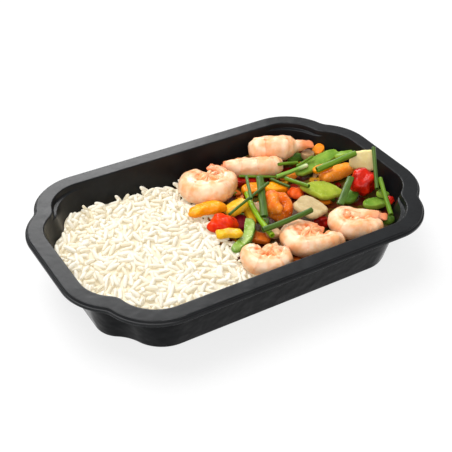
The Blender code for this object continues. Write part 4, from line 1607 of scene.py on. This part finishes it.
@dataclass
class ChiveLength(Piece):
    """A cut length of chive: a hollow leaf, with the hole open at both ends."""

    length: float = 20.0
    width: float = 2.5
    bow: float = 0.0
    flat: float = 1.0
    steps: int = 30
    sides: int = 20
    hole: float = 0.62
    depth: float = 1.6

    def skin(self) -> Skin:
        """The leaf's tube, its cut ends sunk round the hole."""
        path = arc_path(self.length, self.bow, self.steps)
        way = np.gradient(path, axis=0)
        way /= np.linalg.norm(way, axis=1)[:, None]
        left = np.cross((0.0, 0.0, 1.0), way)
        turn = math.tau * (np.arange(self.sides) + 0.5) / self.sides
        half = self.width / 2
        top = half * self.flat
        share = np.linspace(0.0, 1.0, self.steps)
        plan = [(0, self.hole, self.depth), (0, self.hole, 0.1), (0, 0.9, 0.0)]
        plan += [(index, 1.0, 0.15 if index == 0 else 0.0) for index in range(self.steps - 1)]
        plan += [
            (self.steps - 1, 1.0, -0.15), (self.steps - 1, 0.9, 0.0),
            (self.steps - 1, self.hole, -0.1), (self.steps - 1, self.hole, -self.depth),
        ]
        rings, along = [], []
        for index, scale, shift in plan:
            middle = path[index] + way[index] * shift
            side = left[index] * (half * scale * np.cos(turn))[:, None]
            rings.append(
                middle + side + np.array((0.0, 0.0, 1.0)) * (top * scale * np.sin(turn))[:, None]
            )
            along.append(np.full(self.sides, share[index]))
        tips = [path[0] + way[0] * self.depth, path[-1] - way[-1] * self.depth]
        paint = {
            "along": np.concatenate([*along, [0.0, 1.0]]),
            "around": np.concatenate([np.tile(np.cos(turn), len(rings)), [0.0, 0.0]]),
            "above": np.concatenate([np.tile(np.sin(turn), len(rings)), [0.0, 0.0]]),
        }
        skin = Skin(
            np.vstack([*rings, *tips]), ring_faces(len(rings), self.sides, tips=True), paint
        )
        return roughened(skin, 0.12, 6.0, self.place.y)


@dataclass
class Scraps:
    """Small cut scraps of one vegetable that lie on the bed wherever no larger piece does."""

    bed: VegetableBed
    kind: str
    finish: Finish
    count: int
    seed: int
    length: tuple[float, float] = (4.0, 8.0)
    width: tuple[float, float] = (2.5, 4.5)
    thick: tuple[float, float] = (1.2, 2.2)
    clearance: float = 0.2
    tries_each: int = 60
    left_end: float = -14.0
    past_border: float = 4.0
    wall_level: float = 17.0
    wall_gap: float = 5.0
    sunk_share: float = 0.35
    reach_share: float = 0.42
    curl: float = 60.0
    lean: float = 9.0

    def room_at(self, trees: list[BVHTree], spot: Vector, reach: float) -> bool:
        """Whether a scrap of a reach at a spot keeps clear of the larger pieces."""
        for tree in trees:
            near, normal, _, gap = tree.find_nearest(spot, reach + 8.0)
            if near is not None and (gap < reach + self.clearance or (spot - near).dot(normal) < 0):
                return False
        return True

    def build(self, trees: list[BVHTree]) -> bpy.types.Object:
        """All scraps of the kind as one object.

        Args:
            trees: Surfaces of the larger pieces, in millimetres.

        Returns:
            The object.
        """
        chance = random.Random(self.seed)
        tray = self.bed.heap.tray
        outline = tray.wall_at(self.wall_level, self.wall_gap)
        laid: list[Skin] = []
        for _ in range(self.count * self.tries_each):
            if len(laid) == self.count:
                break
            x = chance.uniform(self.left_end, tray.long_half[0])
            y = chance.uniform(-tray.wide_half[1], tray.wide_half[1])
            border = self.bed.heap.border(y) + self.past_border
            if x < border or not within(outline, np.array([(x, y)]))[0]:
                continue
            length, width, thick = (
                chance.uniform(*size) for size in (self.length, self.width, self.thick)
            )
            z = self.bed.height(x, y) + thick * self.sunk_share
            if not self.room_at(trees, Vector((x, y, z)), length * self.reach_share):
                continue
            heading = chance.uniform(0.0, 360.0)
            pitch, roll = (chance.gauss(0.0, self.lean) for _ in range(2))
            place = Place(x, y, z, heading, pitch, roll)
            slice_ = FlatPiece(
                "stir_fry_bed", place, self.finish, "sauce", length, width, thick,
                chance.uniform(-self.curl, self.curl), steps=15,
            )
            laid.append(slice_.skin().outward().placed(place))
        return joined(laid).to_object("bed_scraps_" + self.kind, self.finish)


def shrimps() -> list[Piece]:
    """Six shrimps: three along the back wall, three along the front."""

    def shrimp(node: str, place: Place, *sizes: float, **more: float) -> Piece:
        return PeeledShrimp(node, place, SHRIMP, "shrimp", *sizes, **more)

    return [
        shrimp(
            "shrimp_coiled", Place(4, 30.5, 29.5, -35, -3, -3), 62, 14.5, 325, 5, belly=0.4, rise=8
        ),
        CurledLegs("shrimp_coiled", Place(3.6, 30.2, 31.2, 35), SHRIMP, "shrimp", 17, 12, 10),
        shrimp(
            "shrimp_straight", Place(40, 39, 25, 156), 36, 13, -15, 1.5, body=0.88, slim=0.68,
            legs=0.05, segments=4.0,
        ),
        shrimp(
            "shrimp_back", Place(61, 43.5, 30, -26), 33, 16, 8, 6, body=0.78, rise=2, legs=0.0,
            segments=2.6,
        ),
        shrimp(
            "shrimp_right", Place(60.5, -41, 26.5, 60), 56, 12.5, -196, 5, bend=0.45, body=0.66,
            slim=0.6, belly=0.45,
        ),
        shrimp(
            "shrimp_front", Place(31.4, -40, 26, 60), 55, 12.5, -215, 4, bend=0.6, shift=0.25,
            slim=0.6, belly=0.2,
        ),
        CurledLegs("shrimp_front", Place(27.5, -39.5, 27.5, 20), SHRIMP, "shrimp", 16, 10, 9),
        CurledLegs("shrimp_corner", Place(1.0, -42.0, 27.0, 20), SHRIMP, "shrimp", 17, 12, 9),
        shrimp(
            "shrimp_corner", Place(-2.6, -43.5, 27, -35), 40, 12, 200, 3, bend=0.8, slim=0.6,
            belly=0.4,
        ),
    ]


def peppers() -> list[Piece]:
    """Pieces of red, yellow and orange pepper, flat, curled or lumpy."""
    red, yellow, orange = "red_pepper", "yellow_pepper", "orange_pepper"
    return [
        FlatPiece("pepper_red_rear", Place(32, 33, 20, -18, -4), RED_PEPPER, red, 14, 6, 4, 20),
        Chunk(
            "pepper_red_gap", Place(47.5, -25, 21, -30, -14, -14), RED_PEPPER, red, 10, 7, 6, 0.3, 5
        ),
        Chunk(
            "pepper_red_right", Place(50.5, 6.5, 21, 0, -14), DEEP_CARROT, red, 9, 10, 7, 0.3, 11
        ),
        FlatPiece(
            "pepper_yellow_rear", Place(43.5, 17.5, 20.5, -19, -4, -4), YELLOW_PEPPER, yellow, 14,
            10, 5, 25,
        ),
        FlatPiece(
            "pepper_yellow_left", Place(30.5, 24, 20.5, -18, 4), YELLOW_PEPPER, yellow, 13, 10, 4,
            20,
        ),
        FlatPiece(
            "pepper_yellow_slab", Place(7, 5, 27.5, 2, 14, -14), PALE_PEPPER, yellow, 14, 11, 4,
            square=4, sag=1.0,
        ),
        FlatPiece(
            "pepper_yellow_strip", Place(13.5, 1, 23.5, -101, -14, -14), PALE_PEPPER, yellow, 18,
            4.5, 3, 10, 4, cut=Cut.SHRED,
        ),
        FlatPiece(
            "pepper_yellow_curl", Place(-8.5, 9.5, 28, -15, 6, -6), YELLOW_PEPPER, yellow, 23, 9, 5,
            -75, 2.5, cut=Cut.RAGGED, ragged=0.20, edge=0.6,
        ),
        FlatPiece(
            "pepper_yellow_front", Place(-10.8, -16.7, 28.7, -34, 8, -8), PALE_PEPPER, yellow, 15,
            8, 5, -50, 2.3, cut=Cut.RAGGED, ragged=0.14, edge=0.55,
        ),
        FlatPiece(
            "pepper_yellow_end", Place(72, 10, 30, -14, 10, 10), YELLOW_PEPPER, yellow, 13, 5, 3,
            cut=Cut.SHRED,
        ),
        FlatPiece(
            "pepper_orange_far", Place(86.5, 34.5, 25, 20, 14, 14), ORANGE_PEPPER, orange, 9, 7, 4,
            square=2.5,
        ),
        FlatPiece(
            "pepper_orange_scrap", Place(61.5, -7, 19.5, -24, -4, -4), ORANGE_PEPPER, orange, 8, 5,
            2, cut=Cut.SHRED,
        ),
    ]


def pods() -> list[Piece]:
    """Green pods and pieces of pod."""
    slot = "green_pod"
    return [
        FlatPiece(
            "pod_under_tail", Place(73, 39, 21, -11, 0, 14), SHADED_POD, slot, 12, 6, 3, square=2.2
        ),
        FlatPiece(
            "pod_shaded", Place(76.5, -12, 20.5, 26, 7), SHADED_POD, slot, 12, 9, 3, square=2.2
        ),
        FlatPiece(
            "pod_right", Place(84.5, -26, 21.5, -25, 4), GREEN_POD, slot, 14, 8, 4, square=2.5
        ),
        FlatPiece(
            "pod_corner", Place(90.5, -25, 25.5, 30, -14), GREEN_POD, slot, 7, 7, 3.5, square=2.5
        ),
        FlatPiece(
            "pod_low", Place(79.5, -44.5, 23, -40, 14, -14), SHADED_POD, slot, 7, 6, 3.5, square=2.5
        ),
        FlatPiece("pod_long", Place(79, 25, 23.5, 5, 7, 14), GREEN_POD, slot, 34, 9, 3.5),
        FlatPiece("pod_behind", Place(94.5, 18.5, 28, -23, 14, -14), GREEN_POD, slot, 12, 6, 3),
        FlatPiece(
            "pod_pointed", Place(63, -3, 24.5, -35, -7, 7), BRIGHT_POD, slot, 28, 16, 4,
            square=1.15, puff=0.15,
        ),
        FlatPiece(
            "pod_curved", Place(-1.5, -18.5, 25, -138, 0, 5), FLESH_POD, slot, 32, 6.5, 3.5, -60,
            3.5, sag=-1.0,
        ),
    ]


def roots() -> list[Piece]:
    """Carrot in a chunk, a baton and shavings, and pieces of onion and shoot."""
    carrot, onion = "carrot", "pale_onion"
    return [
        FlatPiece(
            "carrot_brown", Place(8.5, -20, 20.5, -43), BROWN_CARROT, carrot, 11, 8, 3.5, square=4
        ),
        FlatPiece(
            "carrot_sliver", Place(58.5, 26, 19.5, -13), CARROT, carrot, 12, 5, 3, 20, cut=Cut.SHRED
        ),
        Chunk(
            "carrot_chunk", Place(29, -5, 26.9, -20, 10, -10), SPECKED_CARROT_HOLLOW_SHADE, carrot, 17, 19, 18,
            0.26, 21, hollow=(0.05, -0.80, 0.35),
        ),
        FlatPiece(
            "carrot_baton", Place(82.5, 9, 24, 2, 0, -8), CARROT, carrot, 25, 9, 8, square=4,
            edge=0.45, ragged=0.03,
        ),
        FlatPiece(
            "onion_brown", Place(15, -22, 23.5, -30, -14, -4), BROWN_ONION, onion, 9, 8, 3.5,
            square=2.5,
        ),
        FlatPiece("onion_stalk", Place(22.5, 6.5, 19.5, -120), BROWN_ONION, onion, 11, 6, 3),
        FlatPiece("onion_far", Place(77.5, 33.5, 25), BROWN_ONION, onion, 8, 7, 4, square=2.5),
        FlatPiece(
            "onion_small", Place(95.5, -6.5, 25.5, -20, 14, -14), BROWN_ONION, onion, 8, 6, 3,
            square=2.5,
        ),
        FlatPiece(
            "onion_slab", Place(44.1, -16.3, 26.8, 20, -8, 8), PALE_ROOT, onion, 18, 18, 3.5,
            square=3.5, taper=0.1, ragged=0.06,
        ),
        FlatPiece(
            "onion_upright", Place(94, 0.5, 34, -30, 0, 62), PALE_ONION, onion, 16, 12, 3, square=4,
            taper=0.2,
        ),
        FlatPiece(
            "onion_burgundy", Place(3.8, -1.5, 21.5, -14, 0, 14), RED_ONION, "red_onion", 14, 12, 3,
            square=3.5, taper=-0.15, sag=1.0,
        ),
    ]


def tomatoes() -> list[Piece]:
    """Two large wedges of tomato and two scraps."""
    return [
        Chunk(
            "tomato_left", Place(-3, 25.5, 20, 20, -7, -14), DEEP_TOMATO, "tomato", 8, 7, 5, 0.3, 3
        ),
        Chunk(
            "tomato_scrap", Place(91.5, -31, 24.5, 40, 14, 14), DEEP_TOMATO, "tomato", 5, 5, 4,
            0.25, 8,
        ),
        Chunk(
            "tomato_large", Place(85.6, -11.8, 28.4, -10, -4, -4), DEEP_TOMATO, "tomato", 16, 16,
            15, 0.35, 4, pitted=0.6,
        ),
        Chunk(
            "tomato_front", Place(-7.3, -4.5, 26.3, -15, -8, -8), TOMATO, "tomato", 16, 13, 12,
            0.35, 2, pitted=0.4,
        ),
    ]


def chives() -> list[Piece]:
    """Cut lengths of chive, strewn over the vegetables last."""

    def chive(node: str, place: Place, finish: Finish, *sizes: float, **more: float) -> Piece:
        return ChiveLength(node, place, finish, "chive", *sizes, **more)

    return [
        chive("chive_rear", Place(42, 29.5, 22.5, -24, -5), GREEN_CHIVE, 30, 1.6),
        chive("chive_short", Place(46, 17, 24, -69), DARK_CHIVE, 14, 1.8),
        chive("chive_middle", Place(51.5, 7.5, 28, -76, 10), GREEN_CHIVE, 18.5, 2.6),
        chive("chive_long_flat", Place(21.1, -0.7, 33.3, -118, -7), DARK_CHIVE, 34, 4.5, flat=0.5),
        chive("chive_grey", Place(17.2, 7.4, 36, -117, 8), BLUE_CHIVE, 29, 1.9),
        chive("chive_bright", Place(13.5, -8.5, 28.5, -104, 2), BRIGHT_CHIVE, 45, 3.2, bow=14),
        chive("chive_cross", Place(12.5, -0.6, 34.9, 19, 5), DARK_CHIVE, 36, 1.7),
        chive("chive_dark", Place(20.5, -28, 34, -2, 5), DARK_CHIVE, 32, 3.2, bow=10),
        chive("chive_rear_b", Place(58.5, 27.5, 28, -4, -10), GREEN_CHIVE, 14, 2.0),
        chive("chive_rear_d", Place(69.5, 25.5, 27, 6, 10), GREEN_CHIVE, 13, 1.6),
        chive("chive_pale", Place(59, 23.5, 24.5, -3, 5), PALE_CHIVE, 22, 2.6, bow=8),
        chive("chive_wide", Place(76.5, 3.5, 37, -5, 10), GREEN_CHIVE, 27, 3.6),
        chive("chive_leaf", Place(68.6, -17.2, 31, -141, -8), DARK_CHIVE, 25, 4.2, flat=0.35),
        chive("chive_right", Place(84.5, -34, 31.5, -116, -8), GREEN_CHIVE, 31, 2.7),
        chive("chive_rim", Place(93, -13, 36.4, -123, -15), DARK_CHIVE, 33, 2.4),
    ]


# Studio


@dataclass
class Studio:
    """The light table, the soft lights and the camera."""

    lens_mm: float = 76.48
    sensor_mm: float = 36.0
    eye: tuple[float, float, float] = (-0.234863, -0.374070, 0.345481)
    right: tuple[float, float, float] = (0.855307, -0.517874, 0.015996)
    up: tuple[float, float, float] = (0.296623, 0.514740, 0.804399)
    back: tuple[float, float, float] = (-0.424811, -0.683263, 0.593874)
    floor_half: float = 3.0
    floor_drop: float = 0.05
    sky: float = 0.50

    def camera(self) -> None:
        """The camera at the photograph's angle."""
        data = bpy.data.cameras.new("camera")
        data.lens = self.lens_mm
        data.sensor_width = self.sensor_mm
        data.clip_start = 0.01
        camera = bpy.data.objects.new("camera", data)
        turn = Matrix((self.right, self.up, self.back)).transposed().to_4x4()
        camera.matrix_world = Matrix.Translation(self.eye) @ turn
        bpy.context.scene.collection.objects.link(camera)
        bpy.context.scene.camera = camera

    def softbox(
        self, name: str, place: tuple[float, float, float], size: float, watts: float
    ) -> None:
        """A square soft light that points at the tray."""
        data = bpy.data.lights.new(name, "AREA")
        data.size = size
        data.energy = watts
        light = bpy.data.objects.new(name, data)
        light.location = place
        light.rotation_euler = (Vector(place)).to_track_quat("Z", "Y").to_euler()
        bpy.context.scene.collection.objects.link(light)

    def floor(self) -> bpy.types.Object:
        """The light table that the tray stands on."""
        half = self.floor_half / MM
        # Just under the base, so that the two never lie in one plane
        corners = ((-half, -half), (half, -half), (half, half), (-half, half))
        points = np.array([(x, y, -self.floor_drop) for x, y in corners])
        return Skin(points, [(0, 1, 2, 3)]).to_object("floor", FLOOR)

    def build(self) -> None:
        """Floor, lights, sky and camera."""
        self.floor()
        self.softbox("key", (-0.25, 0.35, 1.20), 0.9, 15.0)
        self.softbox("back_window", (0.58, 1.62, 1.05), 0.7, 12.0)
        self.softbox("front_fill", (-0.75, -1.10, 0.90), 1.2, 9.0)
        world = bpy.data.worlds.new("studio")
        world.use_nodes = True
        sky = world.node_tree.nodes["Background"]
        sky.inputs["Color"].default_value = (1.0, 1.0, 1.0, 1.0)
        sky.inputs["Strength"].default_value = self.sky
        bpy.context.scene.world = world
        bpy.context.scene.view_settings.view_transform = "Standard"
        self.camera()


def show(piece: bpy.types.Object, node: str, slot: str) -> None:
    """Put a finished piece in the meal in place of its plain node.

    Args:
        piece: The finished object.
        node: The node that it stands for.
        slot: The material slot that its finish belongs to; not used.
    """
    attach(piece, "root")
    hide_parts(node)
    LOG.info("%s stands for %s: %d faces", piece.name, node, len(piece.data.polygons))


def main() -> None:
    """Build the meal from the tray up and report each piece."""
    logging.basicConfig(level=logging.INFO, format="%(name)s: %(message)s")
    # Without a seed of its own, the noise starts from the clock and each run differs
    noise.seed_set(NOISE_SEED)
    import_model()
    Studio().build()
    tray = MouldedTray()
    heap = Heap(tray)
    beside_rice = [
        "tomato_front", "tomato_left", "pepper_yellow_curl", "pepper_yellow_front",
        "pepper_yellow_slab", "pod_curved", "shrimp_corner", "shrimp_coiled", "onion_burgundy",
        "carrot_brown",
    ]
    mound = RiceMound(heap, beside_rice)
    grains = mound.build()
    show(tray.build(), "tray", "tray")
    bed = VegetableBed(heap)
    show(bed.build(), "stir_fry_bed", "sauce")
    pieces = shrimps() + peppers() + pods() + roots() + tomatoes() + chives()
    above_bed = surfaces(sorted({piece.node for piece in pieces}))
    scraps = (
        ("orange", BROWN_CARROT), ("yellow", SAUCED_SHADED_YELLOW), ("red", SAUCED_SHADED_RED),
        ("green", SHADED_POD), ("onion", SAUCED_SHADED_ONION),
    )
    for number, (kind, finish) in enumerate(scraps):
        show(Scraps(bed, kind, finish, 32, number + 3).build(above_bed), "stir_fry_bed", "sauce")
    show(mound.core(), "rice", "boiled_rice")
    show(grains, "rice", "boiled_rice")
    for piece in pieces:
        show(piece.build(), piece.node, piece.slot)


if __name__ == "__main__":
    main()
